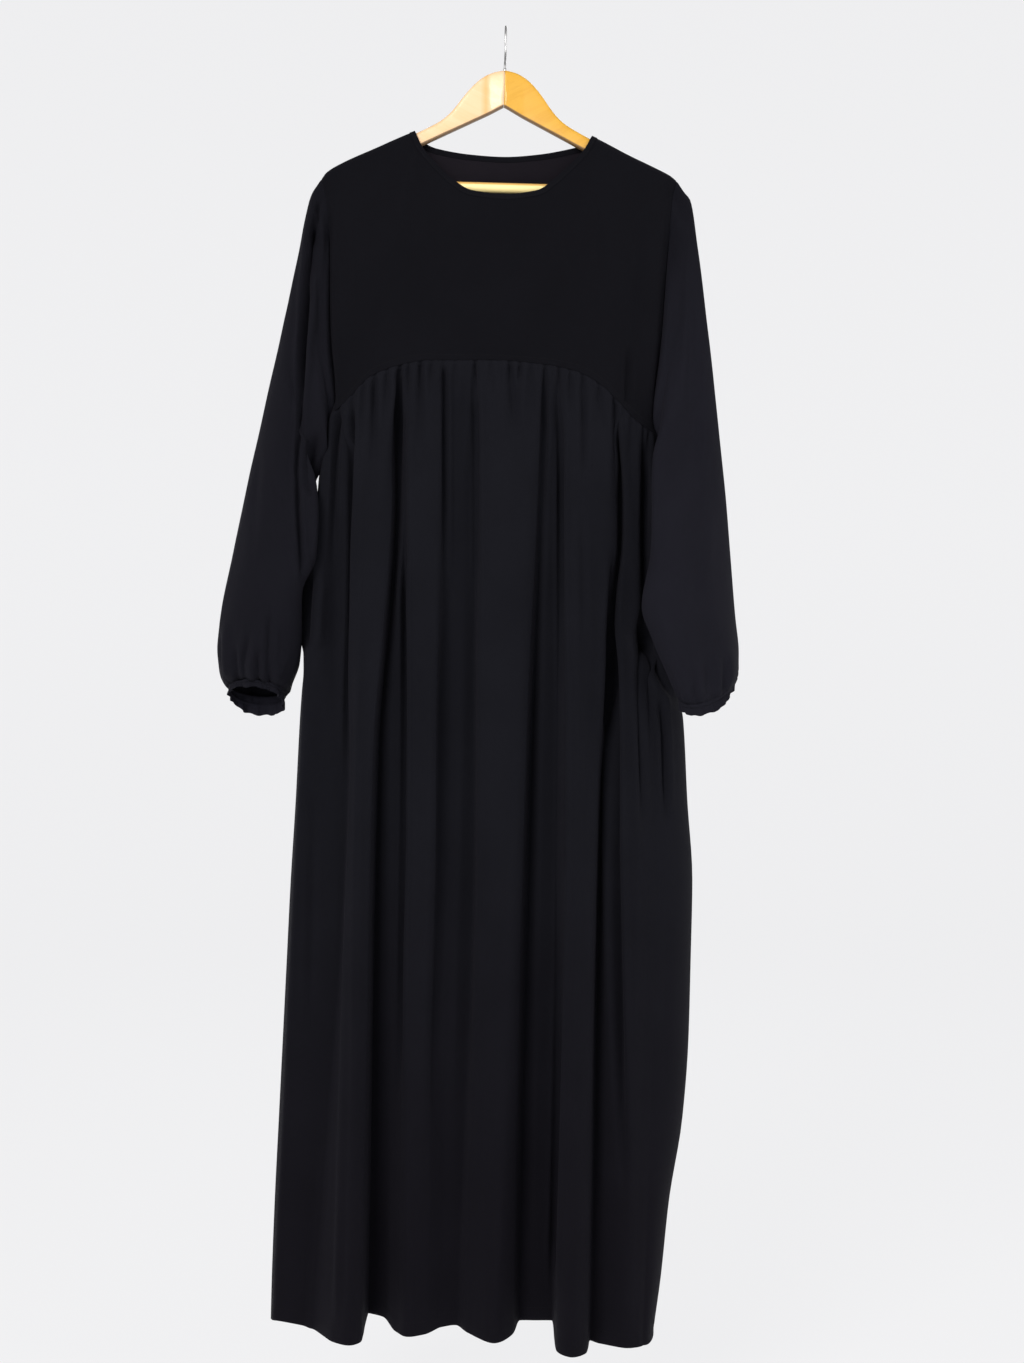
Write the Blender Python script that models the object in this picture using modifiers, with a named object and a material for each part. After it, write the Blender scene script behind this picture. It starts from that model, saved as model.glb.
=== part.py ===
# A yoked abaya with gathered skirt and elastic cuffs, hanging on a wooden hanger.
# Metres, +Z up. The origin is the inside of the hook's crown and the front faces -Y.
# "Left" and "right" are as a viewer in front of the garment sees them.

import math
from collections import namedtuple

import bmesh
import bpy
from mathutils import Vector

cloth_wall = 0.0016
binding_wall = 0.0024
cuff_wall = 0.0022
seam_gap = 0.0003
slant_gap = 0.0009
side_gap = 0.0016
cuff_gap = 0.0011
binding_width = 0.006

Side = namedtuple("Side", "z left right")
body_sides = [
    Side(-0.1820, -0.2205, 0.2040),
    Side(-0.2060, -0.2150, 0.1986),
    Side(-0.2400, -0.2115, 0.1955),
    Side(-0.3400, -0.2110, 0.1885),
    Side(-0.4450, -0.2112, 0.1832),
    Side(-0.4900, -0.2148, 0.1822),
    Side(-0.5330, -0.2214, 0.1770),
    Side(-0.5620, -0.2226, 0.1752),
    Side(-0.6370, -0.2298, 0.1775),
    Side(-0.6980, -0.2385, 0.1860),
    Side(-0.7580, -0.2440, 0.1985),
    Side(-0.8300, -0.2465, 0.2124),
    Side(-0.9260, -0.2520, 0.2175),
    Side(-1.0220, -0.2580, 0.2238),
    Side(-1.1180, -0.2628, 0.2220),
    Side(-1.2140, -0.2676, 0.2196),
    Side(-1.3100, -0.2724, 0.2124),
    Side(-1.4060, -0.2772, 0.1968),
    Side(-1.5020, -0.2808, 0.1865),
    Side(-1.5600, -0.2822, 0.1780),
]

ShoulderPoint = namedtuple("ShoulderPoint", "x z")
shoulder_line = [
    ShoulderPoint(-0.2205, -0.1810),
    ShoulderPoint(-0.2150, -0.1735),
    ShoulderPoint(-0.1992, -0.1635),
    ShoulderPoint(-0.1560, -0.1440),
    ShoulderPoint(-0.1092, -0.1240),
    ShoulderPoint(0.0000, -0.0900),
    ShoulderPoint(0.1032, -0.1300),
    ShoulderPoint(0.1488, -0.1535),
    ShoulderPoint(0.1788, -0.1680),
    ShoulderPoint(0.1968, -0.1775),
    ShoulderPoint(0.2040, -0.1835),
]

NeckPoint = namedtuple("NeckPoint", "x z")
front_neckline = [
    NeckPoint(-0.1092, -0.1240),
    NeckPoint(-0.1014, -0.1420),
    NeckPoint(-0.0816, -0.1670),
    NeckPoint(-0.0612, -0.1864),
    NeckPoint(-0.0408, -0.1984),
    NeckPoint(0.0000, -0.2032),
    NeckPoint(0.0372, -0.1984),
    NeckPoint(0.0552, -0.1864),
    NeckPoint(0.0744, -0.1685),
    NeckPoint(0.0936, -0.1475),
    NeckPoint(0.1032, -0.1300),
]
back_neckline = [
    NeckPoint(-0.1092, -0.1240),
    NeckPoint(-0.0990, -0.1350),
    NeckPoint(-0.0840, -0.1432),
    NeckPoint(-0.0432, -0.1522),
    NeckPoint(0.0000, -0.1558),
    NeckPoint(0.0400, -0.1522),
    NeckPoint(0.0804, -0.1432),
    NeckPoint(0.0940, -0.1380),
    NeckPoint(0.1032, -0.1300),
]

SeamPoint = namedtuple("SeamPoint", "x z")
front_seam = [
    SeamPoint(-0.2130, -0.4680),
    SeamPoint(-0.1973, -0.4570),
    SeamPoint(-0.1800, -0.4404),
    SeamPoint(-0.1597, -0.4218),
    SeamPoint(-0.1252, -0.4091),
    SeamPoint(-0.0897, -0.4034),
    SeamPoint(-0.0188, -0.4036),
    SeamPoint(0.0403, -0.4083),
    SeamPoint(0.0817, -0.4164),
    SeamPoint(0.1125, -0.4325),
    SeamPoint(0.1352, -0.4546),
    SeamPoint(0.1594, -0.4780),
    SeamPoint(0.1822, -0.4912),
]
back_seam = [
    SeamPoint(-0.2130, -0.4680),
    SeamPoint(-0.1850, -0.4440),
    SeamPoint(-0.1480, -0.4220),
    SeamPoint(-0.0800, -0.4060),
    SeamPoint(0.0000, -0.4040),
    SeamPoint(0.0750, -0.4120),
    SeamPoint(0.1250, -0.4380),
    SeamPoint(0.1594, -0.4730),
    SeamPoint(0.1822, -0.4912),
]

# Ridges and valleys of the skirt from left to right. x and y are given at four levels below
# the seam (the seam's y comes from the yoke), lift raises the hem, and flank bends the side
# towards the next row: 1 is an upright flank and more makes it lean over.
Fold = namedtuple("Fold", "name x_seam x_top x_mid x_hem y_top y_mid y_hem lift flank")
front_folds = [
    Fold("left side", -0.2130, -0.2200, -0.2500, -0.2820, 0.000, 0.000, 0.000, 0.000, 0.2),
    Fold("left ridge", -0.1860, -0.1845, -0.1905, -0.1898, -0.034, -0.058, -0.075, 0.000, 1.7),
    Fold("left valley", -0.1280, -0.1310, -0.1588, -0.1640, -0.008, 0.004, 0.018, 0.005, 1.2),
    Fold("second ridge", -0.1060, -0.1017, -0.1073, -0.1117, -0.034, -0.038, -0.042, 0.000, 0.7),
    Fold("second valley", -0.0765, -0.0750, -0.0754, -0.0780, -0.016, -0.006, -0.001, 0.000, 0.4),
    Fold("centre ridge left", -0.0330, -0.0306, -0.0329, -0.0328, -0.036, -0.042, -0.045, 0.000, 0.0),
    Fold("centre ridge right", 0.0150, 0.0166, 0.0096, 0.0060, -0.040, -0.046, -0.050, 0.000, 1.3),
    Fold("centre valley", 0.0475, 0.0478, 0.0385, 0.0372, -0.012, 0.003, 0.018, 0.007, 1.7),
    Fold("tall ridge", 0.0850, 0.0871, 0.0862, 0.0775, -0.045, -0.070, -0.088, 0.000, 1.7),
    Fold("right valley", 0.1360, 0.1371, 0.1199, 0.1020, -0.014, -0.022, -0.034, 0.000, 1.1),
    Fold("last ridge", 0.1600, 0.1587, 0.1600, 0.1434, -0.030, -0.045, -0.047, 0.000, 0.8),
    Fold("right side", 0.1822, 0.1815, 0.2000, 0.1780, 0.000, 0.006, 0.026, 0.000, 0.0),
]
back_folds = [
    Fold("left side", -0.2130, -0.2200, -0.2500, -0.2820, 0.000, 0.000, 0.000, 0.000, 0.0),
    Fold("first ridge", -0.1750, -0.1800, -0.2080, -0.2260, 0.040, 0.062, 0.078, 0.000, 0.8),
    Fold("first valley", -0.1300, -0.1350, -0.1500, -0.1660, 0.032, 0.044, 0.052, 0.003, 0.6),
    Fold("second ridge", -0.0900, -0.0910, -0.1000, -0.1060, 0.046, 0.072, 0.094, 0.000, 0.9),
    Fold("second valley", -0.0450, -0.0430, -0.0470, -0.0520, 0.034, 0.044, 0.054, 0.004, 0.6),
    Fold("middle ridge", 0.0020, 0.0050, 0.0000, -0.0040, 0.046, 0.068, 0.086, 0.000, 0.7),
    Fold("third valley", 0.0480, 0.0490, 0.0480, 0.0400, 0.034, 0.045, 0.052, 0.003, 0.6),
    Fold("third ridge", 0.0920, 0.0950, 0.0980, 0.0850, 0.046, 0.074, 0.096, 0.000, 0.9),
    Fold("last valley", 0.1320, 0.1350, 0.1420, 0.1240, 0.032, 0.044, 0.056, 0.003, 0.5),
    Fold("last ridge", 0.1620, 0.1620, 0.1750, 0.1560, 0.034, 0.056, 0.072, 0.000, 0.0),
    Fold("right side", 0.1822, 0.1815, 0.2000, 0.1780, 0.000, 0.006, 0.026, 0.000, 0.0),
]
fold_levels = (0.0, 0.12, 0.42, 1.0)
skirt_rows = (0.0, 0.0015, 0.014, 0.032, 0.065, 0.12, 0.21, 0.33, 0.48, 0.66, 0.84, 1.0)
columns_per_fold = {"front": 8, "back": 6}
hem_middle_z = -1.5596
hem_slope = -0.041

# Gathers: small waves under the seam that fade as the skirt falls.
Gather = namedtuple("Gather", "waves height peak fade")
front_gather = Gather(16, 0.0034, 0.026, 0.085)
back_gather = Gather(12, 0.0034, 0.028, 0.085)

# Sleeve rings: the outer and inner ends of each, then how far it swells to the front and
# back, how much its front is raised, the place (degrees from the outer end) and depth of the
# long crease in its front, and how far its front hangs in over the body.
Ring = namedtuple("Ring", "x_out y_out z_out x_in y_in z_in front back tilt crease_at crease lap")
left_rings = [
    Ring(-0.242, 0.000, -0.244, -0.221, 0.000, -0.489, 0.021, 0.022, 0.00, 45, 0.004, 0),
    Ring(-0.265, -0.002, -0.350, -0.229, 0.000, -0.542, 0.027, 0.031, 0.00, 75, 0.010, 0),
    Ring(-0.286, -0.004, -0.446, -0.229, -0.010, -0.591, 0.031, 0.038, 0.00, 100, 0.013, 0),
    Ring(-0.307, -0.006, -0.542, -0.231, -0.016, -0.634, 0.035, 0.044, 0.00, 122, 0.010, 0),
    Ring(-0.325, -0.008, -0.626, -0.238, -0.014, -0.677, 0.040, 0.048, 0.00, 150, 0.004, 0),
    Ring(-0.340, -0.008, -0.700, -0.247, -0.006, -0.724, 0.045, 0.050, 0.05, 165, 0.000, 0),
    Ring(-0.345, -0.006, -0.746, -0.252, -0.003, -0.760, 0.047, 0.049, 0.15, 170, 0.000, 0),
    Ring(-0.343, -0.004, -0.772, -0.256, 0.000, -0.782, 0.044, 0.046, 0.25, 170, 0.000, 0),
    Ring(-0.337, -0.002, -0.785, -0.260, 0.000, -0.791, 0.038, 0.040, 0.33, 170, 0.000, 0),
]
left_cuff = [
    Ring(-0.3335, 0.000, -0.791, -0.2630, 0.000, -0.797, 0.0345, 0.0355, 0.35, 0, 0.000, 0),
    Ring(-0.3330, 0.000, -0.797, -0.2635, 0.000, -0.804, 0.0342, 0.0352, 0.35, 0, 0.000, 0),
    Ring(-0.3335, 0.000, -0.803, -0.2635, 0.000, -0.811, 0.0345, 0.0355, 0.35, 0, 0.000, 0),
]
right_rings = [
    Ring(0.2150, 0.000, -0.207, 0.1915, -0.001, -0.506, 0.018, 0.021, 0.00, 40, 0.000, 0.009),
    Ring(0.2260, -0.002, -0.262, 0.1935, -0.005, -0.521, 0.022, 0.026, 0.00, 50, 0.003, 0.021),
    Ring(0.2385, -0.007, -0.352, 0.1935, -0.012, -0.541, 0.024, 0.031, 0.00, 65, 0.004, 0.033),
    Ring(0.2470, -0.013, -0.430, 0.1890, -0.026, -0.569, 0.027, 0.035, 0.00, 80, 0.004, 0.032),
    Ring(0.2530, -0.020, -0.496, 0.1790, -0.045, -0.602, 0.030, 0.037, 0.00, 90, 0.003, 0.020),
    Ring(0.2590, -0.030, -0.568, 0.1680, -0.067, -0.645, 0.034, 0.038, 0.00, 90, 0.000, 0.007),
    Ring(0.2640, -0.035, -0.640, 0.1620, -0.083, -0.695, 0.037, 0.038, 0.00, 90, 0.000, 0),
    Ring(0.2690, -0.040, -0.705, 0.1680, -0.089, -0.735, 0.040, 0.040, -0.10, 90, 0.000, 0),
    Ring(0.2730, -0.044, -0.749, 0.1800, -0.086, -0.770, 0.041, 0.041, -0.20, 90, 0.000, 0),
    Ring(0.2725, -0.047, -0.768, 0.1920, -0.082, -0.791, 0.038, 0.038, -0.28, 90, 0.000, 0),
]
right_cuff = [
    Ring(0.2700, -0.048, -0.776, 0.1990, -0.078, -0.801, 0.035, 0.035, -0.30, 0, 0.000, 0),
    Ring(0.2700, -0.048, -0.781, 0.2000, -0.078, -0.807, 0.0345, 0.0345, -0.30, 0, 0.000, 0),
    Ring(0.2710, -0.048, -0.786, 0.2010, -0.078, -0.813, 0.0345, 0.0345, -0.30, 0, 0.000, 0),
]
lap_at = 138
lap_width = 34
ring_columns = 28
cuff_columns = 56
cuff_waves = 14
cuff_wave_height = 0.0014
sleeve_gather_waves = 12
sleeve_gather_height = 0.0022

# The hanger, upright here and leaned about the hook's crown where it is placed.
ArmSection = namedtuple("ArmSection", "reach top bottom")
arm_sections = [
    ArmSection(0.0000, 0.0000, 0.0440),
    ArmSection(0.0100, 0.0009, 0.0490),
    ArmSection(0.0180, 0.0033, 0.0530),
    ArmSection(0.0260, 0.0078, 0.0570),
    ArmSection(0.0340, 0.0145, 0.0610),
    ArmSection(0.0420, 0.0232, 0.0650),
    ArmSection(0.0500, 0.0335, 0.0690),
    ArmSection(0.0580, 0.0450, 0.0730),
    ArmSection(0.0660, 0.0542, 0.0770),
    ArmSection(0.0760, 0.0625, 0.0820),
    ArmSection(0.0890, 0.0695, 0.0885),
    ArmSection(0.1030, 0.0770, 0.0955),
    ArmSection(0.1350, 0.0915, 0.1115),
    ArmSection(0.1640, 0.1050, 0.1260),
    ArmSection(0.1775, 0.1115, 0.1327),
    ArmSection(0.1800, 0.1130, 0.1490),
    ArmSection(0.1900, 0.1190, 0.1520),
    ArmSection(0.1980, 0.1250, 0.1500),
    ArmSection(0.2020, 0.1320, 0.1430),
]
arm_top_z = -0.052
arm_thickness = 0.0116
arm_edge_radius = 0.0040
arm_sweep = 0.002
arm_stretch = {"left": 1.0, "right": 0.985}
hanger_lean = math.radians(1.6)
bar_radius = 0.0063
bar_z = -0.1920
bar_socket_reach = 0.1775
hook_wire_radius = 0.0015
hook_ring_radius = 0.0182


def smooth_curve(points):
    """A smooth function through (position, value) points that never overshoots them."""
    points = sorted(points)
    steps = [(b[1] - a[1]) / (b[0] - a[0]) for a, b in zip(points, points[1:])]
    slopes = [steps[0]]
    for before, after in zip(steps, steps[1:]):
        same_way = before * after > 0
        slopes.append(2 * before * after / (before + after) if same_way else 0.0)
    slopes.append(steps[-1])

    def value(position):
        position = min(max(position, points[0][0]), points[-1][0])
        index = 0
        while index < len(points) - 2 and position > points[index + 1][0]:
            index += 1
        (start, low), (end, high) = points[index], points[index + 1]
        width = end - start
        t = (position - start) / width
        return (low * (1 + 2 * t) * (1 - t) ** 2 + high * t * t * (3 - 2 * t)
                + width * (slopes[index] * t * (1 - t) ** 2 + slopes[index + 1] * t * t * (t - 1)))

    return value


def smooth_step(t):
    t = min(max(t, 0.0), 1.0)
    return t * t * (3 - 2 * t)


def mix(a, b, t):
    return a + (b - a) * t


def point_at(line, key, value):
    """The point of a broken line where its rising coordinate `key` has this value."""
    for a, b in zip(line, line[1:]):
        if value <= b[key] or b is line[-1]:
            return a.lerp(b, min(max((value - a[key]) / (b[key] - a[key]), 0.0), 1.0))


left_side = smooth_curve([(row.z, row.left) for row in body_sides])
right_side = smooth_curve([(row.z, row.right) for row in body_sides])
shoulder_z = smooth_curve([(row.x, row.z) for row in shoulder_line])
seam_z = {
    "front": smooth_curve([(row.x, row.z) for row in front_seam]),
    "back": smooth_curve([(row.x, row.z) for row in back_seam]),
}
facing = {"front": -1.0, "back": 1.0}
way_of = {"left": -1.0, "right": 1.0}
underarm_z = {"left": front_seam[0].z, "right": front_seam[-1].z}


def hem_z(x):
    return hem_middle_z + hem_slope * x


def body_depth(x, z):
    """How far the yoke's wall stands from the middle plane, rounding over the hanger's arms."""
    over_arm = 0.0096
    fall = max(shoulder_z(x) - z, 0.0)
    if fall < over_arm:
        depth = math.sqrt(over_arm ** 2 - (over_arm - fall) ** 2)
    else:
        depth = over_arm + 0.080 * (fall - over_arm) * smooth_step((fall - over_arm) / 0.05)
    left, right = left_side(z), right_side(z)
    middle, half = (left + right) / 2, (right - left) / 2
    across = min(abs(x - middle) / half, 1.0)
    low = underarm_z["left"] if x < middle else underarm_z["right"]
    down = min(max((body_sides[0].z - z) / (body_sides[0].z - low), 0.0), 1.0)
    closing = down ** 4
    rounding = (1 - across ** 5) ** (1 - 0.55 * closing)
    return depth * (1 - closing * (1 - rounding))


# Places along a neckline, close together where it rolls over the shoulder.
neck_columns = 20
neck_shares = [(1 - math.cos(math.pi * index / neck_columns)) / 2 for index in range(neck_columns + 1)]


def neck_edge(panel, share, distance):
    """A point a distance outside the neckline, at a share of the way from left to right."""
    rows = front_neckline if panel == "front" else back_neckline
    lengths = [0.0]
    for a, b in zip(rows, rows[1:]):
        lengths.append(lengths[-1] + math.hypot(b.x - a.x, b.z - a.z))
    x_at = smooth_curve([(length, row.x) for length, row in zip(lengths, rows)])
    z_at = smooth_curve([(length, row.z) for length, row in zip(lengths, rows)])
    place = share * lengths[-1]
    step = 0.002
    before, after = max(place - step, 0.0), min(place + step, lengths[-1])
    along = Vector((x_at(after) - x_at(before), z_at(after) - z_at(before))).normalized()
    outward = Vector((along.y, -along.x))
    from_end = min(share, 1 - share)
    sign = -1.0 if share < 0.5 else 1.0
    shoulder_x = x_at(place) + sign * distance
    down_shoulder = Vector((sign * distance, shoulder_z(shoulder_x) - shoulder_z(x_at(place))))
    outward = down_shoulder.normalized().lerp(outward, smooth_step(from_end / 0.08)).normalized()
    x = x_at(place) + outward.x * distance
    z = z_at(place) + outward.y * distance
    return x, min(z, shoulder_z(x))


def on_body(panel, x, z):
    least = seam_gap * 0.8 if shoulder_z(x) - z < 0.05 else side_gap / 2
    return Vector((x, facing[panel] * max(body_depth(x, z), least), z))


def yoke_top(panel, shares_on_shoulder):
    """The yoke's upper edge as (x, z): left shoulder, neckline and right shoulder."""
    inset = binding_width + slant_gap
    neck = []
    for share in neck_shares:
        turn = max(1 - min(share, 1 - share) / 0.08, 0.0)
        neck.append(neck_edge(panel, share, inset + 0.0008 * turn))
    left_tip, right_tip = left_side(body_sides[0].z), right_side(body_sides[0].z)
    left = [mix(left_tip, neck[0][0], share) for share in shares_on_shoulder[:-1]]
    right = [mix(right_tip, neck[-1][0], share) for share in shares_on_shoulder[:-1]]
    edge = [(x, shoulder_z(x)) for x in left] + neck
    return edge + [(x, shoulder_z(x)) for x in reversed(right)]


def yoke_points(panel):
    """Rows of points from the upper edge down to the seam, each running left to right."""
    shoulder_shares = [0.0, 0.07, 0.20, 0.40, 0.62, 0.84, 1.0]
    top = yoke_top(panel, shoulder_shares)
    rows = front_seam if panel == "front" else back_seam
    left_end, right_end = rows[0].x, rows[-1].x
    shoulder_downs = (0.0, 0.0005, 0.004, 0.012, 0.03, 0.08, 0.18, 0.33, 0.52, 0.70, 0.84, 0.94, 1.0)
    neck_downs = (0.0, 0.010, 0.025, 0.045, 0.08, 0.13, 0.22, 0.36, 0.54, 0.70, 0.84, 0.94, 1.0)
    grid = []
    for shoulder_down, neck_down in zip(shoulder_downs, neck_downs):
        line = []
        for index, (top_x, top_z) in enumerate(top):
            from_end = min(index, len(top) - 1 - index) - len(shoulder_shares) + 1
            down = mix(shoulder_down, neck_down, smooth_step(from_end / 3))
            u = 2 * index / (len(top) - 1) - 1
            u = 0.5 * (u + math.sin(math.pi * u / 2))
            low_x = mix(left_end, right_end, (u + 1) / 2)
            low_z = seam_z[panel](low_x)
            z = mix(top_z, low_z, down)
            x = mix(top_x, low_x, down)
            tip_z = body_sides[0].z
            left_z = mix(tip_z, underarm_z["left"], down)
            right_z = mix(tip_z, underarm_z["right"], down)
            x += (left_side(left_z) - mix(left_side(tip_z), left_end, down)) * ((1 - u) / 2) ** 3
            x += (right_side(right_z) - mix(right_side(tip_z), right_end, down)) * ((1 + u) / 2) ** 3
            line.append(on_body(panel, x, z))
        grid.append(line)
    return grid


def fold_place(fold, level):
    """x and y of one fold at a level, where 0 is the seam and 1 is the hem."""
    x = smooth_curve(list(zip(fold_levels, (fold.x_seam, fold.x_top, fold.x_mid, fold.x_hem))))
    y = smooth_curve(list(zip(fold_levels, (fold.y_top * 0.7, fold.y_top, fold.y_mid, fold.y_hem))))
    return x(level), y(level)


def across_folds(folds, level, position, side_x):
    """x and y between two folds. The whole part of position picks the fold on the left."""
    index = min(int(position), len(folds) - 2)
    t = position - index
    (ax, ay), (bx, by) = fold_place(folds[index], level), fold_place(folds[index + 1], level)
    towards = math.copysign(side_gap / 2, folds[1].y_top)
    if index == 0:
        ax, ay = side_x[0], ay + towards
    if index == len(folds) - 2:
        bx, by = side_x[1], by + towards
    flank = folds[index].flank * smooth_step(level / 0.25)
    round_left = index == 0 and folds[1].y_hem > 0
    round_right = index == len(folds) - 2
    if round_left:
        return mix(ax, bx, 1 - math.cos(math.pi * t / 2)), mix(ay, by, math.sin(math.pi * t / 2))
    if round_right:
        return mix(ax, bx, math.sin(math.pi * t / 2)), mix(by, ay, math.cos(math.pi * t / 2))
    x = mix(ax, bx, t + flank * math.sin(2 * math.pi * t) / (2 * math.pi))
    return x, mix(ay, by, (1 - math.cos(math.pi * t)) / 2)


def side_moves(side, fold):
    """How far a side of the skirt has moved sideways at each row."""
    ends = fold.x_seam, fold.x_hem
    top_z, low_z = seam_z["front"](ends[0]), hem_z(ends[1])
    return [side(mix(top_z, low_z, level)) - side(top_z) for level in skirt_rows]


def skirt_points(panel, seam_line, folds, gather):
    """Rows of points from the seam line down to the hem, each running left to right."""
    columns = (len(folds) - 1) * columns_per_fold[panel]
    left_move = side_moves(left_side, folds[0])
    right_move = side_moves(right_side, folds[-1])
    middle_lift = smooth_curve([(index, fold.lift) for index, fold in enumerate(folds)])
    grid = [[] for _ in skirt_rows]
    for column in range(columns + 1):
        position = column / columns_per_fold[panel]
        seam_x, _ = across_folds(folds, 0.0, position, (folds[0].x_seam, folds[-1].x_seam))
        top = point_at(seam_line, 0, seam_x)
        rise = point_at(seam_line, 0, seam_x + 0.002).z - point_at(seam_line, 0, seam_x - 0.002).z
        drop = slant_gap * math.hypot(1, rise / 0.004)
        end_x, _ = across_folds(folds, 1.0, position, (folds[0].x_hem, folds[-1].x_hem))
        low_z = hem_z(end_x) + middle_lift(position)
        wave = math.cos(2 * math.pi * gather.waves * column / columns)
        for index, level in enumerate(skirt_rows):
            z = mix(top.z - drop, low_z, level)
            x, y = across_folds(folds, level, position, (left_side(z), right_side(z)))
            fall = top.z - z
            joined = smooth_step(fall / 0.11)
            sides = 1 - abs(2 * column / columns - 1) ** 6
            rising = (fall / gather.peak) * math.exp(1 - fall / gather.peak)
            swell = rising * math.exp(-fall / gather.fade)
            x = mix(top.x + mix(left_move[index], right_move[index], column / columns), x, joined)
            y = mix(top.y, y, joined) + facing[panel] * gather.height * wave * swell * sides
            grid[index].append(Vector((x, y, z)))
    return grid


def ring_point(ring, angle, swell=0.0):
    """A point of a ring. The angle runs from the outer end over the front to the inner end."""
    c, s = math.cos(angle), math.sin(angle)
    middle = Vector((ring.x_out + ring.x_in, ring.y_out + ring.y_in, ring.z_out + ring.z_in)) / 2
    arm = Vector((ring.x_out - ring.x_in, ring.y_out - ring.y_in, ring.z_out - ring.z_in)) / 2
    depth = ring.front if s > 0 else ring.back
    off_crease = (math.degrees(angle) - ring.crease_at) / 20
    depth_here = depth * s - ring.crease * math.exp(-off_crease ** 2) * (s > 0)
    point = middle + arm * c + Vector((0, -depth_here, ring.tilt * depth_here))
    outward = Vector((arm.x * c, -depth_here, 0)).normalized()
    off_lap = (math.degrees(angle) - lap_at) / lap_width
    lap = Vector((-0.9, -0.8, 0)) * ring.lap * math.exp(-off_lap ** 2)
    return point + outward * swell + lap


def armhole_line(front_grid, back_grid, side):
    """The front and back edges of an armhole, rising from the underarm to the tip."""
    end = 0 if side == "left" else -1
    return [[line[end] for line in reversed(grid)] for grid in (front_grid, back_grid)]


def sleeve_points(side, rings, cuff_top, armhole):
    """Rings of points from the armhole down to just above the cuff."""
    way = way_of[side]
    front_edge, back_edge = armhole
    low, high = front_edge[0].z + 0.004, front_edge[-1].z - 0.0004
    grid = []
    for reach in (0.0, 0.0035):
        line = []
        for column in range(ring_columns):
            angle = 2 * math.pi * column / ring_columns
            z = mix(low, high, (1 + math.cos(angle)) / 2)
            edge = front_edge if math.sin(angle) >= 0 else back_edge
            point = point_at(edge, 2, z)
            down = (high - z) / (high - low)
            gap = seam_gap + 0.0010 * math.exp(-down / 0.06) + 0.0023 * down ** 3
            line.append(point + Vector((way * (gap + reach * (1 + down ** 3)), 0, 0)))
        grid.append(line)
    for index, ring in enumerate(rings):
        near_cuff = smooth_step((index - len(rings) + 5) / 4)
        line = []
        for column in range(ring_columns):
            angle = 2 * math.pi * column / ring_columns
            wave = math.cos(sleeve_gather_waves * angle)
            line.append(ring_point(ring, angle, near_cuff * sleeve_gather_height * wave * 0.5))
        grid.append(line)
    end = []
    for column in range(ring_columns):
        point = ring_point(cuff_top, 2 * math.pi * column / ring_columns)
        end.append(point + Vector((0, 0, cuff_gap)))
    return grid + [end]


def cuff_points(rings):
    grid = []
    for index, ring in enumerate(rings):
        height = cuff_wave_height * index / 2
        line = []
        for column in range(cuff_columns):
            angle = 2 * math.pi * column / cuff_columns
            line.append(ring_point(ring, angle, height * math.cos(cuff_waves * angle)))
        grid.append(line)
    return grid


def binding_points():
    """Two rings: the free edge of the binding and the edge that meets the yokes."""
    grid = []
    for distance in (0.0, binding_width):
        line = []
        for share in neck_shares[:-1]:
            x, z = neck_edge("front", share, distance)
            line.append(Vector((x, -body_depth(x, z), z)))
        for share in reversed(neck_shares[1:]):
            x, z = neck_edge("back", share, distance)
            line.append(Vector((x, body_depth(x, z), z)))
        grid.append(line)
    return grid


def wall_from_grid(name, grid, thickness, closed_ring, material, collection):
    """An open sheet through the grid's points, made into a closed wall by Solidify."""
    mesh_data = bmesh.new()
    rows = [[mesh_data.verts.new(point) for point in line] for line in grid]
    for above, below in zip(rows, rows[1:]):
        count = len(above)
        for index in range(count if closed_ring else count - 1):
            following = (index + 1) % count
            mesh_data.faces.new((above[index], below[index], below[following], above[following]))
    for face in mesh_data.faces:
        face.smooth = True
    mesh = bpy.data.meshes.new(name)
    mesh_data.to_mesh(mesh)
    mesh_data.free()
    thing = bpy.data.objects.new(name, mesh)
    thing.data.materials.append(material)
    collection.objects.link(thing)
    wall = thing.modifiers.new("wall", "SOLIDIFY")
    wall.thickness = thickness
    wall.offset = 0.0
    wall.use_rim = True
    return thing


def make_material(name, colour, roughness, metallic):
    material = bpy.data.materials.new(name)
    material.use_nodes = True
    shader = material.node_tree.nodes["Principled BSDF"]
    shader.inputs["Base Color"].default_value = (*colour, 1.0)
    shader.inputs["Roughness"].default_value = roughness
    shader.inputs["Metallic"].default_value = metallic
    material.diffuse_color = (*colour, 1.0)
    return material


def sweep_at(reach):
    return -arm_sweep * (reach / arm_sections[-1].reach) ** 2


def arm_point(side, reach, height, across):
    away = seam_gap / 2 + reach * arm_stretch[side]
    return Vector((way_of[side] * away, sweep_at(reach) + across, arm_top_z - height))


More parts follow.
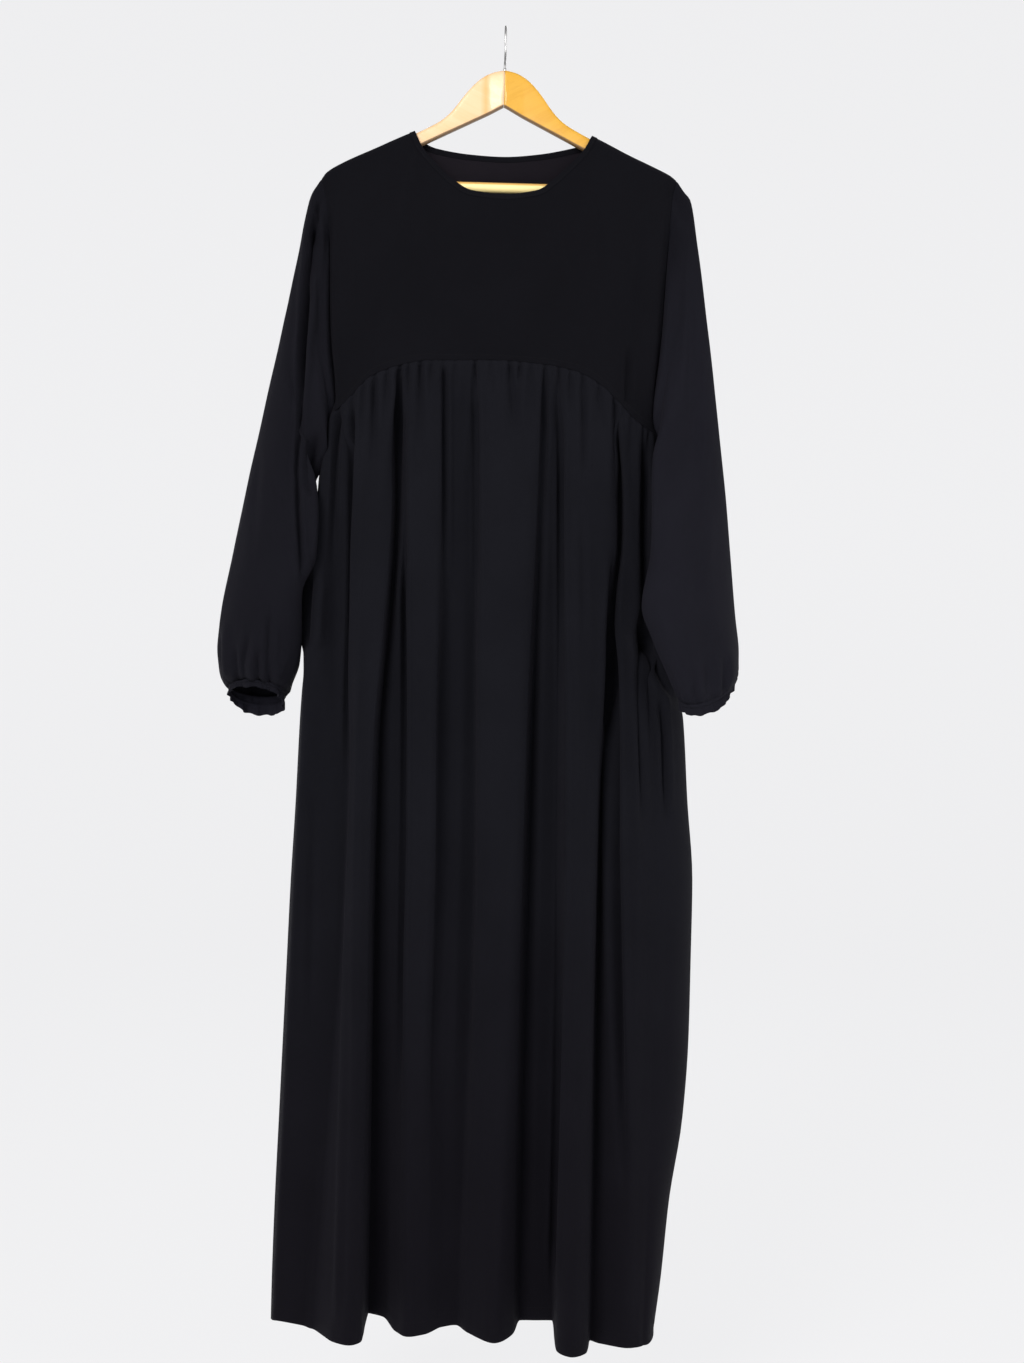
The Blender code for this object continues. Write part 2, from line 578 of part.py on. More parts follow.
def make_arm(side, material, collection):
    """One shaped board, as a loft of rounded sections along the arm."""
    half = arm_thickness / 2
    mesh_data = bmesh.new()
    rings = []
    for section in arm_sections:
        radius = min(arm_edge_radius, (section.bottom - section.top) / 2.2)
        ring = []
        for corner_across, corner_height, start in ((1, -1, 0), (-1, -1, 90), (-1, 1, 180), (1, 1, 270)):
            centre_across = corner_across * (half - radius)
            edge = section.bottom if corner_height < 0 else section.top
            centre_height = edge + corner_height * radius
            for turn in (0, 45, 90):
                angle = math.radians(start + turn)
                across = centre_across + radius * math.cos(angle)
                height = centre_height + radius * math.sin(angle)
                ring.append(mesh_data.verts.new(arm_point(side, section.reach, height, across)))
        rings.append(ring)
    for inner, outer in zip(rings, rings[1:]):
        for index in range(len(inner)):
            following = (index + 1) % len(inner)
            mesh_data.faces.new((inner[index], inner[following], outer[following], outer[index]))
    mesh_data.faces.new(rings[0])
    mesh_data.faces.new(list(reversed(rings[-1])))
    bmesh.ops.recalc_face_normals(mesh_data, faces=mesh_data.faces)
    mesh = bpy.data.meshes.new("hanger_arm_" + side)
    mesh_data.to_mesh(mesh)
    mesh_data.free()
    thing = bpy.data.objects.new("hanger_arm_" + side, mesh)
    thing.data.materials.append(material)
    collection.objects.link(thing)
    return thing


def make_wire(name, points, radius, material, collection):
    """A round wire along points. Each point gives its place and its share of the radius."""
    curve = bpy.data.curves.new(name, "CURVE")
    curve.dimensions = "3D"
    curve.bevel_depth = radius
    curve.bevel_resolution = 2
    curve.use_fill_caps = True
    spline = curve.splines.new("POLY")
    spline.points.add(len(points) - 1)
    for spot, (place, share) in zip(spline.points, points):
        spot.co = (*place, 1.0)
        spot.radius = share
    thing = bpy.data.objects.new(name, curve)
    thing.data.materials.append(material)
    collection.objects.link(thing)
    return thing


def hook_points():
    """A question mark in the YZ plane: the open tip, round the ring, then down the stem."""
    radius = hook_ring_radius + hook_wire_radius
    middle_z = -hook_ring_radius
    points = []
    for degrees in range(205, -50, -15):
        angle = math.radians(degrees)
        place = Vector((0, radius * math.cos(angle), middle_z + radius * math.sin(angle)))
        points.append((place, 0.85 if degrees > 196 else 1.0))
    start = points[-1][0]
    stem_top = Vector((0, 0, -0.0415))
    foot = Vector((0, 0, arm_top_z + seam_gap))
    points.append((start.lerp(stem_top, 0.5) + Vector((0, 0.0006, -0.0018)), 1.0))
    points.append((stem_top, 1.0))
    points.append((Vector((0, 0, foot.z + 0.0040)), 1.0))
    points.append((Vector((0, 0, foot.z + 0.0025)), 1.6))
    points.append((foot, 1.7))
    return points


def build_hanger(collection):
    wood = make_material("varnished_wood", (0.80, 0.50, 0.17), 0.32, 0.0)
    steel = make_material("hook_steel", (0.62, 0.62, 0.63), 0.25, 1.0)
    lean = bpy.data.objects.new("hanger_lean", None)
    lean.rotation_euler.y = hanger_lean
    collection.objects.link(lean)
    pieces = [
        make_arm("left", wood, collection),
        make_arm("right", wood, collection),
    ]
    ends = []
    for side in ("left", "right"):
        reach = bar_socket_reach * arm_stretch[side] - 0.0008
        ends.append(Vector((way_of[side] * reach, sweep_at(reach), bar_z)))
    bar = make_wire("hanger_bar", [(end, 1.0) for end in ends], bar_radius, wood, collection)
    pieces.append(bar)
    pieces.append(make_wire("hanger_hook", hook_points(), hook_wire_radius, steel, collection))
    for piece in pieces:
        piece.parent = lean


def build_cloth(collection):
    cloth = make_material("black_cloth", (0.011, 0.011, 0.013), 0.85, 0.0)
    trim = make_material("black_binding", (0.010, 0.010, 0.012), 0.80, 0.0)
    yokes = {panel: yoke_points(panel) for panel in ("front", "back")}
    for panel, folds, gather in (("front", front_folds, front_gather), ("back", back_folds, back_gather)):
        wall_from_grid("yoke_" + panel, yokes[panel], cloth_wall, False, cloth, collection)
        grid = skirt_points(panel, yokes[panel][-1], folds, gather)
        wall_from_grid("skirt_" + panel, grid, cloth_wall, False, cloth, collection)
    for side, rings, cuff in (("left", left_rings, left_cuff), ("right", right_rings, right_cuff)):
        armhole = armhole_line(yokes["front"], yokes["back"], side)
        grid = sleeve_points(side, rings, cuff[0], armhole)
        wall_from_grid("sleeve_" + side, grid, cloth_wall, True, cloth, collection)
        wall_from_grid("cuff_" + side, cuff_points(cuff), cuff_wall, True, cloth, collection)
    wall_from_grid("neck_binding", binding_points(), binding_wall, True, trim, collection)


def main():
    for thing in list(bpy.data.objects):
        bpy.data.objects.remove(thing, do_unlink=True)
    collection = bpy.data.collections.new("abaya_on_hanger")
    bpy.context.scene.collection.children.link(collection)
    build_cloth(collection)
    build_hanger(collection)


main()
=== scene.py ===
# Looks for a yoked abaya on a wooden hanger: cloth shells with their creases, gathers, seams
# and stitches, varnished wood, a steel hook, and a plain pale studio.
# Metres, +Z up, front towards -Y. Left and right are as seen from the front.
import math
from collections import namedtuple

import bmesh
import bpy
import numpy as np
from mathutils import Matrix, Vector, noise


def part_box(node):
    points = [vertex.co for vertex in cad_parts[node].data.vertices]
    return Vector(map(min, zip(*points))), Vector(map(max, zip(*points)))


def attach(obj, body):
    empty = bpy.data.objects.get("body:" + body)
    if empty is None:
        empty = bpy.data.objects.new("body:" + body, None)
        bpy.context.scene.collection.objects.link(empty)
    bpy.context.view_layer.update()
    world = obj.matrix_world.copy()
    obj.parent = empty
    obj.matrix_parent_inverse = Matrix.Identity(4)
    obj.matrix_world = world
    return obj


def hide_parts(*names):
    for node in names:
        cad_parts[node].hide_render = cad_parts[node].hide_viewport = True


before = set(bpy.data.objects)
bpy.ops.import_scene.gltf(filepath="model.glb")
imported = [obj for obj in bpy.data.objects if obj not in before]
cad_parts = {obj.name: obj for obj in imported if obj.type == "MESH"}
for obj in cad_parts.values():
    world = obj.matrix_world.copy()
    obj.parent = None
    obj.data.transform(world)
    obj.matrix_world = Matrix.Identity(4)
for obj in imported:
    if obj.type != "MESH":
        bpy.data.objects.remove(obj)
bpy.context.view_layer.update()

bpy.ops.object.select_all(action="DESELECT")
link = bpy.context.scene.collection.objects.link
facing = {"front": -1.0, "back": 1.0}
wayOf = {"left": -1.0, "right": 1.0}


# The long tables are in millimetres, and these two turn them into metres.
def inMetres(table):
    if isinstance(table, dict):
        return {name: inMetres(rows) for name, rows in table.items()}
    if isinstance(table, (list, tuple)):
        return [inMetres(value) for value in table]
    return round(table / 1000, 7)


# The last plain columns of a row are no lengths and stay as they are.
def readRows(kind, rows, plain=0):
    return [kind(*inMetres(row[:len(row) - plain]), *row[len(row) - plain:]) for row in rows]


bodyForm = inMetres({
    "sides": [  # z, left x, right x
        (-182, -220.5, 204), (-206, -215, 198.6), (-240, -211.5, 195.5), (-340, -211, 188.5),
        (-445, -211.2, 183.2), (-490, -216.2, 182.2), (-533, -223.6, 177), (-562, -226.4, 175.2),
        (-637, -237.8, 177.5), (-698, -246.2, 186), (-730, -247, 192.5), (-750, -242.8, 196.8),
        (-770, -242.6, 201), (-795, -244.6, 206), (-830, -247, 212.4), (-926, -252, 217.5),
        (-1022, -258, 223.8), (-1118, -262.8, 222), (-1214, -267.6, 219.6), (-1310, -272.4, 212.4),
        (-1406, -277.2, 196.8), (-1502, -280.8, 186.5), (-1560, -282.2, 178),
    ],
    "shoulder": [  # x, z
        (-220.5, -181), (-215, -173.5), (-199.2, -163.5), (-156, -144), (-109.2, -124), (0, -90),
        (103.2, -130), (148.8, -153.5), (178.8, -168), (196.8, -177.5), (204, -183.5),
    ],
    "neck": {  # x, z of the free edge
        "front": [
            (-109.2, -124), (-101.4, -142), (-81.6, -167), (-61.2, -186.4), (-40.8, -198.4), (0, -203.2),
            (37.2, -198.4), (55.2, -186.4), (74.4, -168.5), (93.6, -147.5), (103.2, -130),
        ],
        "back": [
            (-109.2, -124), (-99, -134), (-84, -141), (-43.2, -147.6), (0, -150.2), (40, -147.6),
            (80.4, -141), (94, -136.6), (103.2, -130),
        ],
    },
    "seam": {  # x, z where the skirt joins the yoke
        "front": [
            (-213, -468), (-197.3, -457), (-180, -440.4), (-159.7, -421.8), (-125.2, -409.1), (-89.7, -403.4),
            (-18.8, -403.6), (40.3, -408.3), (81.7, -416.4), (112.5, -432.5), (135.2, -454.6), (159.4, -478),
            (182.2, -491.2),
        ],
        "back": [
            (-213, -468), (-185, -444), (-148, -422), (-80, -406), (0, -404), (75, -412), (125, -438),
            (159.4, -473), (182.2, -491.2),
        ],
    },
    "tip": -182,  # height of the shoulder's ends
    "overArm": 9.6,  # radius of the cloth over an arm
    "slopeFrom": 50,
    "bindingWidth": 6,
    "sideGap": 1,  # between front and back where they meet
    "neckStep": 2,
})
bodyShape = {"slope": 0.080, "closing": 4, "squareness": 5, "flattening": 0.55, "neckEnd": 0.08}


# A smooth function through values at rising places, which never overshoots them.
def smoothCurve(places, values):
    places, values = np.asarray(places, float), np.asarray(values, float)
    widths = np.diff(places).reshape((-1,) + (1,) * (values.ndim - 1))
    steps = np.diff(values, axis=0) / widths
    before, after = steps[:-1], steps[1:]
    turning = before * after <= 0
    inner = np.where(turning, 0.0, 2 * before * after / np.where(turning, 1.0, before + after))
    slopes = np.concatenate([steps[:1], inner, steps[-1:]])

    def value(position):
        position = np.clip(np.asarray(position, float), places[0], places[-1])
        index = np.clip(np.searchsorted(places, position) - 1, 0, len(places) - 2)
        shape = position.shape + (1,) * (values.ndim - 1)
        width = (places[index + 1] - places[index]).reshape(shape)
        t = ((position - places[index]).reshape(shape)) / width
        rise = values[index] * (1 + 2 * t) * (1 - t) ** 2 + values[index + 1] * t * t * (3 - 2 * t)
        return rise + width * (slopes[index] * t * (1 - t) ** 2 + slopes[index + 1] * t * t * (t - 1))

    return value


def tableCurve(rows, column=1):
    rows = sorted(rows)
    return smoothCurve([row[0] for row in rows], [row[column] for row in rows])


def smoothStep(t):
    t = np.clip(t, 0.0, 1.0)
    return t * t * (3 - 2 * t)


def mix(a, b, t):
    return a + (b - a) * t


def bell(distance, width=1.0):
    return np.exp(-(distance / width) ** 2)


def runningTotal(steps):
    return np.concatenate([[0.0], np.cumsum(steps)])


def unit(vectors):
    return vectors / np.linalg.norm(vectors, axis=-1, keepdims=True)


# A table's columns at new places, read off the values that its rows have at known ones.
def readAt(wanted, places, rows):
    return np.stack([np.interp(wanted, places, column) for column in rows.T], -1)


leftSide, rightSide = (tableCurve(bodyForm["sides"], column) for column in (1, 2))
shoulderZ = tableCurve(bodyForm["shoulder"])
seamZ = {panel: tableCurve(rows) for panel, rows in bodyForm["seam"].items()}
underarmZ = {"left": bodyForm["seam"]["front"][0][1], "right": bodyForm["seam"]["front"][-1][1]}


# How far the yoke stands from the middle plane, rounding over the hanger's arms.
def bodyDepth(x, z):
    overArm, tip = bodyForm["overArm"], bodyForm["tip"]
    fall = np.maximum(shoulderZ(x) - z, 0.0)
    overTop = np.sqrt(np.maximum(overArm ** 2 - (overArm - np.minimum(fall, overArm)) ** 2, 0.0))
    past = fall - overArm
    below = overArm + bodyShape["slope"] * past * smoothStep(past / bodyForm["slopeFrom"])
    depth = np.where(fall < overArm, overTop, below)
    left, right = leftSide(z), rightSide(z)
    middle, half = (left + right) / 2, (right - left) / 2
    across = np.minimum(np.abs(x - middle) / half, 1.0)
    low = np.where(x < middle, underarmZ["left"], underarmZ["right"])
    closing = np.clip((tip - z) / (tip - low), 0.0, 1.0) ** bodyShape["closing"]
    rounding = (1 - across ** bodyShape["squareness"]) ** (1 - bodyShape["flattening"] * closing)
    return depth * (1 - closing * (1 - rounding))


# x and z a distance outside the neckline, at a share of the way from left to right.
def neckEdge(panel, share, distance):
    rows = np.array(bodyForm["neck"][panel])
    lengths = runningTotal(np.hypot(*np.diff(rows, axis=0).T))
    placeOn = smoothCurve(lengths, rows)
    place, step = share * lengths[-1], bodyForm["neckStep"]
    here = placeOn(place)
    along = unit(placeOn(np.minimum(place + step, lengths[-1])) - placeOn(np.maximum(place - step, 0.0)))
    outward = np.stack([along[:, 1], -along[:, 0]], -1)
    reach = np.where(share < 0.5, -1.0, 1.0) * np.maximum(np.abs(distance), step)
    down = unit(np.stack([reach, shoulderZ(here[:, 0] + reach) - shoulderZ(here[:, 0])], -1))
    fromEnd = np.minimum(share, 1 - share)
    outward = unit(mix(down, outward, smoothStep(fromEnd / bodyShape["neckEnd"])[:, None]))
    x, z = (here + outward * np.reshape(distance, (-1, 1))).T
    return x, np.minimum(z, shoulderZ(x))


# Grids of points have rows that run down and columns that run right.
def gridNormals(grid, closed=False):
    if closed:
        across = np.roll(grid, -1, axis=1) - np.roll(grid, 1, axis=1)
    else:
        across = np.gradient(grid, axis=1)
    normal = np.cross(np.gradient(grid, axis=0), across)
    return normal / np.maximum(np.linalg.norm(normal, axis=-1, keepdims=True), 1e-12)


# The unit normals of a grid, all turned to the side that away points to.
def outwardOf(grid, away, closed=False):
    normal = gridNormals(grid, closed)
    return normal * np.where((normal * away).sum(-1).mean() < 0, -1.0, 1.0)


# Mean distances along the columns and down the rows.
def gridLengths(grid):
    across = np.linalg.norm(np.diff(grid, axis=1), axis=-1).mean(axis=0)
    down = np.linalg.norm(np.diff(grid, axis=0), axis=-1).mean(axis=1)
    return runningTotal(across), runningTotal(down)


# Smooth noise from -1 to 1 over two arrays of places.
def noiseOver(first, second, seed):
    first, second = np.broadcast_arrays(first, second)
    values = [noise.noise((a, b, seed)) for a, b in zip(first.ravel(), second.ravel())]
    return np.array(values).reshape(first.shape)


# Noise of a layer's height, with its waves a metre across and down, from its seed.
def ripple(first, second, layer, shift):
    height, across, down, seed = layer
    return height * noiseOver(first * across, second * down, seed + shift)


# A crease is a line in the front view. Its depth is negative for a ridge, and it fades in and
# out over shares of its length, with a low shoulder on both sides.
Crease = namedtuple("Crease", "depth width line fadeIn fadeOut")
creaseShoulder = {"height": 0.30, "place": 2.0}


# How far each point of a grid sinks for the creases over it.
def creaseField(grid, creases):
    field = np.zeros(grid.shape[:2])
    x, z = grid[..., 0], grid[..., 2]
    for crease in creases:
        line = np.array(crease.line)
        steps = np.diff(line, axis=0)
        lengths = runningTotal(np.hypot(*steps.T))
        nearest, place = np.full(x.shape, np.inf), np.zeros(x.shape)
        for start, step, before, length in zip(line, steps, lengths, np.diff(lengths)):
            t = np.clip(((x - start[0]) * step[0] + (z - start[1]) * step[1]) / (step @ step), 0.0, 1.0)
            distance = np.hypot(x - start[0] - t * step[0], z - start[1] - t * step[1])
            closer = distance < nearest
            nearest = np.where(closer, distance, nearest)
            place = np.where(closer, before + t * length, place)
        share = place / lengths[-1]
        fade = smoothStep(share / crease.fadeIn) * smoothStep((1 - share) / crease.fadeOut)
        shoulder = bell(nearest - creaseShoulder["place"] * crease.width, crease.width)
        field += crease.depth * fade * (bell(nearest, crease.width) - creaseShoulder["height"] * shoulder)
    return field


# A socket whose numbers can be added, multiplied and so on as Python expressions.
class Field:
    def __init__(self, finish, socket):
        self.finish = finish
        self.socket = socket

    def apply(self, operation, *others):
        return self.finish.node("Math", {"operation": operation}, 0, dict(enumerate((self, *others))))

    def __add__(self, other):
        return self.apply("ADD", other)

    def __sub__(self, other):
        return self.apply("SUBTRACT", other)

    def __rsub__(self, other):
        return self * -1.0 + other

    def __mul__(self, other):
        return self.apply("MULTIPLY", other)

    def __pow__(self, other):
        return self.apply("POWER", other)

    __radd__ = __add__
    __rmul__ = __mul__

    def sine(self):
        return self.apply("SINE")

    def clamp(self):
        return self.apply("MAXIMUM", 0.0).apply("MINIMUM", 1.0)


# A new material with one Principled shader, whose values come by the names of its sockets.
class Finish:
    def __init__(self, name, values):
        self.material = bpy.data.materials.new(name)
        self.material.use_nodes = True
        self.tree = self.material.node_tree
        self.shader = self.tree.nodes["Principled BSDF"]
        self.fill(self.shader, values)

    def fill(self, made, values):
        for key, value in values.items():
            slot = made.inputs[key]
            if isinstance(value, Field):
                self.tree.links.new(value.socket, slot)
            else:
                slot.default_value = (*value, 1.0) if slot.type == "RGBA" else value

    def node(self, kind, settings, output, values):
        made = self.tree.nodes.new("ShaderNode" + kind)
        for key, value in settings.items():
            if key == "stops":
                elements = made.color_ramp.elements
                while len(elements) < len(value):
                    elements.new(0.5)
                for element, (place, colour) in zip(elements, value):
                    element.position = place
                    element.color = (*colour, 1.0)
            else:
                setattr(made, key, value)
        self.fill(made, values)
        return Field(self, made.outputs[output])

    def place(self):
        return self.node("TexCoord", {}, "Object", {})

    def part(self, vector, axis):
        return self.node("SeparateXYZ", {}, axis, {"Vector": vector})

    def speckle(self, vector, scale, detail):
        return self.node("TexNoise", {}, 0, {"Vector": vector, "Scale": scale, "Detail": detail})

    def ramp(self, factor, stops):
        return self.node("ValToRGB", {"stops": stops}, "Color", {"Fac": factor})

    def blend(self, factor, first, second):
        return self.node("Mix", {"data_type": "RGBA"}, 2, {0: factor, 6: first, 7: second})

    # Colour, roughness and the height of a bump, which all vary over the surface.
    def cover(self, colour, roughness, height, distance):
        bump = self.node("Bump", {}, 0, {"Height": height, "Distance": distance, "Strength": 1.0})
        self.fill(self.shader, {"Base Color": colour, "Roughness": roughness.clamp(), "Normal": bump})
        return self.material


crepeLook = {
    "shader": {
        "Metallic": 0.0, "Specular IOR Level": 0.05, "Sheen Weight": 0.014, "Sheen Roughness": 0.55,
        "Sheen Tint": (0.82, 0.78, 1.0),
    },
    "dark": (0.0038, 0.0037, 0.0057),
    "light": (0.0070, 0.0069, 0.0102),
    "threadsPerMetre": 1900.0,
    "pebbleScale": 1500.0,
    "slubScale": (90.0, 1300.0),
    "cloudScale": 9.0,
    "toneMix": {"cloud": 0.5, "slub": 0.5, "pebble": 0.35, "less": 0.18},
    "stops": ((0.25, "dark"), (0.85, "light")),
    "relief": {"threads": 0.35, "pebble": 0.9, "slub": 0.5},
    "roughness": (0.16, 0.72),  # swing, least
    "bumpDepth": 0.00022,
    "heights": (-0.45, -0.20),
    "paintedLightTones": {  # painted light and shade, each part's copy of the crepe lit up or darkened: upper tone, lower tone, and the heights between which it changes if others
        "black crepe, skirt": ((1.02, 1.06, 1.01), (0.80, 0.72, 0.75), (-1.45, -0.95)),
        "black crepe, front yoke": (0.57, 0.57),
        "black crepe, back yoke": ((1.45, 1.22, 1.14), 0.75),
        "black crepe, left sleeve": (0.84, 1.06),
        "black crepe, right sleeve": (0.92, 1.42),
        "black crepe, left cuff": (1.2, 1.9, (-0.806, -0.796)),
        "black crepe, right cuff": (1.42, 1.42),
        "folded black crepe": (0.62, 0.62),
    },
}


# Matte crepe: a pebbly weave along the cloth's own UV, with faint slubs across it, and painted light and shade
# that lighten and darken each part and change with height.
def makeCrepe(name):
    look = crepeLook
    upper, lower, (low, high) = (*look["paintedLightTones"][name], look["heights"])[:3]
    finish = Finish(name, look["shader"])
    uv = finish.node("UVMap", {"uv_map": "cloth"}, 0, {})
    across, down = finish.part(uv, "X"), finish.part(uv, "Y")
    turns = 2 * math.pi * look["threadsPerMetre"]
    threads = (across * turns).sine() * (down * turns).sine()
    pebble = finish.speckle(uv, look["pebbleScale"], 3.0)
    alongSlub, acrossSlub = look["slubScale"]
    slubPlace = finish.node("CombineXYZ", {}, 0, {"X": across * alongSlub, "Y": down * acrossSlub})
    slub = finish.speckle(slubPlace, 1.0, 2.0)
    cloud = finish.speckle(uv, look["cloudScale"], 3.0)
    share, relief, (swing, least) = look["toneMix"], look["relief"], look["roughness"]
    tone = cloud * share["cloud"] + slub * share["slub"] + pebble * share["pebble"] - share["less"]
    tone = tone.clamp()
    shades = [
        finish.ramp(tone, [(stop, tuple(np.multiply(look[shade], lighter)))
                           for stop, shade in look["stops"]])
        for lighter in (lower, upper)
    ]
    # Painted light and shade: the tone moves from the lower to the upper copy between two heights.
    risen = ((finish.part(finish.place(), "Z") - low) * (1 / (high - low))).clamp()
    height = threads * relief["threads"] + pebble * relief["pebble"] + slub * relief["slub"]
    return finish.cover(finish.blend(risen, *shades), slub * swing + least, height, look["bumpDepth"])


woodLook = {
    "shader": {"Metallic": 0.0, "Coat Roughness": 0.12, "Specular IOR Level": 0.30},
    # Painted light: one wood in three copies, the left arm's paler with painted reflection of the light on its
    # left, the right arm's deeper with painted shade, the bar's lighter to make up for the shade inside the
    # neck.
    "left": [(0.73, 0.51, 0.31), (0.69, 0.455, 0.245), (0.61, 0.37, 0.155)],  # pale, middle, deep
    "right": [(0.63, 0.345, 0.045), (0.565, 0.29, 0.031), (0.48, 0.22, 0.018)],
    "bar": [(0.92, 0.76, 0.36), (0.88, 0.70, 0.31), (0.76, 0.54, 0.20)],
    "stops": (0.15, 0.60, 1.0),
    # the colour of the painted shade under the arms
    "under": (0.130, 0.078, 0.042),
    "amber": (0.60, 0.30, 0.05),
    "drift": (5.0, 60.0, 60.0),
    "fibre": (40.0, 900.0, 900.0),
    "rings": (22.0, 0.5, 0.5, 1.5),  # turns, swing, middle, sharpness
    "grain": {"rings": 0.22, "fibre": 0.40, "drift": 0.25},
    "amberTop": (0.30, 4.0, 0.8),  # the bar's faces that look up turn deeper amber: begin, growth, share
    "paintedReflection": (-0.0240, 150.0, 0.55),  # painted reflection, an amber band on the left arm: place along X, narrowness, share
    "shade": (0.22, 6.0, 0.9),  # painted shade on faces that look down: begin, growth, share
    "polish": (-0.058, 60.0, 0.5, 0.05),  # top, growth, swing, least
    "roughness": (0.18, 0.26),  # swing, least
    "ringRelief": 0.3,
    "bumpDepth": 0.00012,
    "slope": 26.0,
}


# Varnished pale wood whose grain runs along X after a turn about Y, in degrees.
def makeWood(part, turn):
    look = woodLook
    finish = Finish("varnished wood " + part, look["shader"])
    place = finish.place()
    turned = finish.node("Mapping", {}, 0, {"Vector": place, "Rotation": (0.0, math.radians(turn), 0.0)})
    drift, fibre = (
        finish.speckle(finish.node("Mapping", {}, 0, {"Vector": turned, "Scale": look[scale]}), 1.0, detail)
        for scale, detail in (("drift", 4.0), ("fibre", 3.0)))
    turns, swing, middle, sharpness = look["rings"]
    rings = ((drift * turns).sine() * swing + middle) ** sharpness
    share = look["grain"]
    grain = (rings * share["rings"] + fibre * share["fibre"] + drift * share["drift"]).clamp()
    colour = finish.ramp(grain, list(zip(look["stops"], look[part])))
    upward = finish.part(finish.node("TexCoord", {}, "Normal", {}), "Z")
    if part == "bar":
        begin, growth, share = look["amberTop"]
        colour = finish.blend(((upward - begin) * growth).clamp() * share, colour, look["amber"])
    else:
        if part == "left":
            # Painted reflection: an amber band down the left arm beside the middle.
            middle, narrowness, share = look["paintedReflection"]
            paintedReflection = (1 - ((finish.part(place, "X") - middle) * narrowness).apply("ABSOLUTE")).clamp()
            colour = finish.blend(paintedReflection * share, colour, look["amber"])
        # Painted shade: faces that look down are mixed towards the dark under colour.
        begin, growth, share = look["shade"]
        colour = finish.blend(((upward * -1.0 - begin) * growth).clamp() * share, colour, look["under"])
    top, growth, swing, least = look["polish"]
    polish = ((top - finish.part(place, "Z")) * growth).clamp()
    finish.fill(finish.shader, {"Coat Weight": polish * (drift * swing + least)})
    swing, least = look["roughness"]
    height = fibre + rings * look["ringRelief"]
    return finish.cover(colour, fibre * swing + least, height, look["bumpDepth"])


fineLook = {
    "black thread": {
        "shader": {"Metallic": 0.0, "Specular IOR Level": 0.18},
        "scale": 2600.0, "roughness": (0.25, 0.62), "bumpDepth": 0.00006,
        "stops": [(0.25, (0.0016, 0.0016, 0.0023)), (0.80, (0.0034, 0.0033, 0.0046))],
    },
    "bright steel": {
        "shader": {"Metallic": 1.0},
        "scale": 1600.0, "roughness": (0.16, 0.34), "bumpDepth": 0.00004,
        "stops": [(0.2, (0.50, 0.50, 0.51)), (0.8, (0.66, 0.65, 0.64))],
    },
}


# Thread and steel, both with a fine even grain.
def makeFine(name):
    look = fineLook[name]
    finish = Finish(name, look["shader"])
    grain = finish.speckle(finish.place(), look["scale"], 3.0)
    swing, least = look["roughness"]
    return finish.cover(finish.ramp(grain, look["stops"]), grain * swing + least, grain, look["bumpDepth"])


def newObject(name, points, faces, material):
    mesh = bpy.data.meshes.new(name)
    mesh.from_pydata(points, [], faces)
    mesh.materials.append(material)
    mesh.shade_smooth()
    piece = bpy.data.objects.new(name, mesh)
    link(piece)
    return piece


def keepPiece(piece, replacing=True):
    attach(piece, "root")
    if replacing:
        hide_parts(piece.name.replace("-", "_"))


def selectOnly(piece):
    bpy.ops.object.select_all(action="DESELECT")
    bpy.context.view_layer.objects.active = piece
    piece.select_set(True)


def applyModifiers(piece):
    selectOnly(piece)
    for modifier in list(piece.modifiers):
        bpy.ops.object.modifier_apply(modifier=modifier.name)
    piece.select_set(False)


# A cloth shell through a grid of points, with a UV map in metres and a thin wall.
def addCloth(name, grid, material, closed=False, thickness=0.0008):
    rows, columns = grid.shape[:2]
    across, down = gridLengths(np.concatenate([grid, grid[:, :1]], axis=1) if closed else grid)
    count = columns if closed else columns - 1
    row, column = np.arange(rows - 1)[:, None] * columns, np.arange(count)[None, :]
    first, following = row + column, row + (column + 1) % columns
    faces = np.stack([first, first + columns, following + columns, following], -1).reshape(-1, 4)
    piece = newObject(name, grid.reshape(-1, 3).tolist(), faces.tolist(), material)
    left, top = np.meshgrid(across[:count], down[:-1])
    right, low = np.meshgrid(across[1:count + 1], down[1:])
    corners = [np.stack(corner, -1) for corner in ((left, top), (left, low), (right, low), (right, top))]
    uvMap = piece.data.uv_layers.new(name="cloth")
    uvMap.data.foreach_set("uv", np.stack(corners, axis=2).reshape(-1).astype(np.float32))
    wall = piece.modifiers.new("wall", "SOLIDIFY")
    wall.thickness = thickness
    wall.offset = 0.0
    applyModifiers(piece)
    keepPiece(piece)


def clothArea(grid, closed=False):
    if closed:
        grid = np.concatenate([grid, grid[:, :1]], axis=1)
    diagonals = np.cross(grid[1:, 1:] - grid[:-1, :-1], grid[1:, :-1] - grid[:-1, 1:])
    return float(np.linalg.norm(diagonals, axis=-1).sum() / 2)


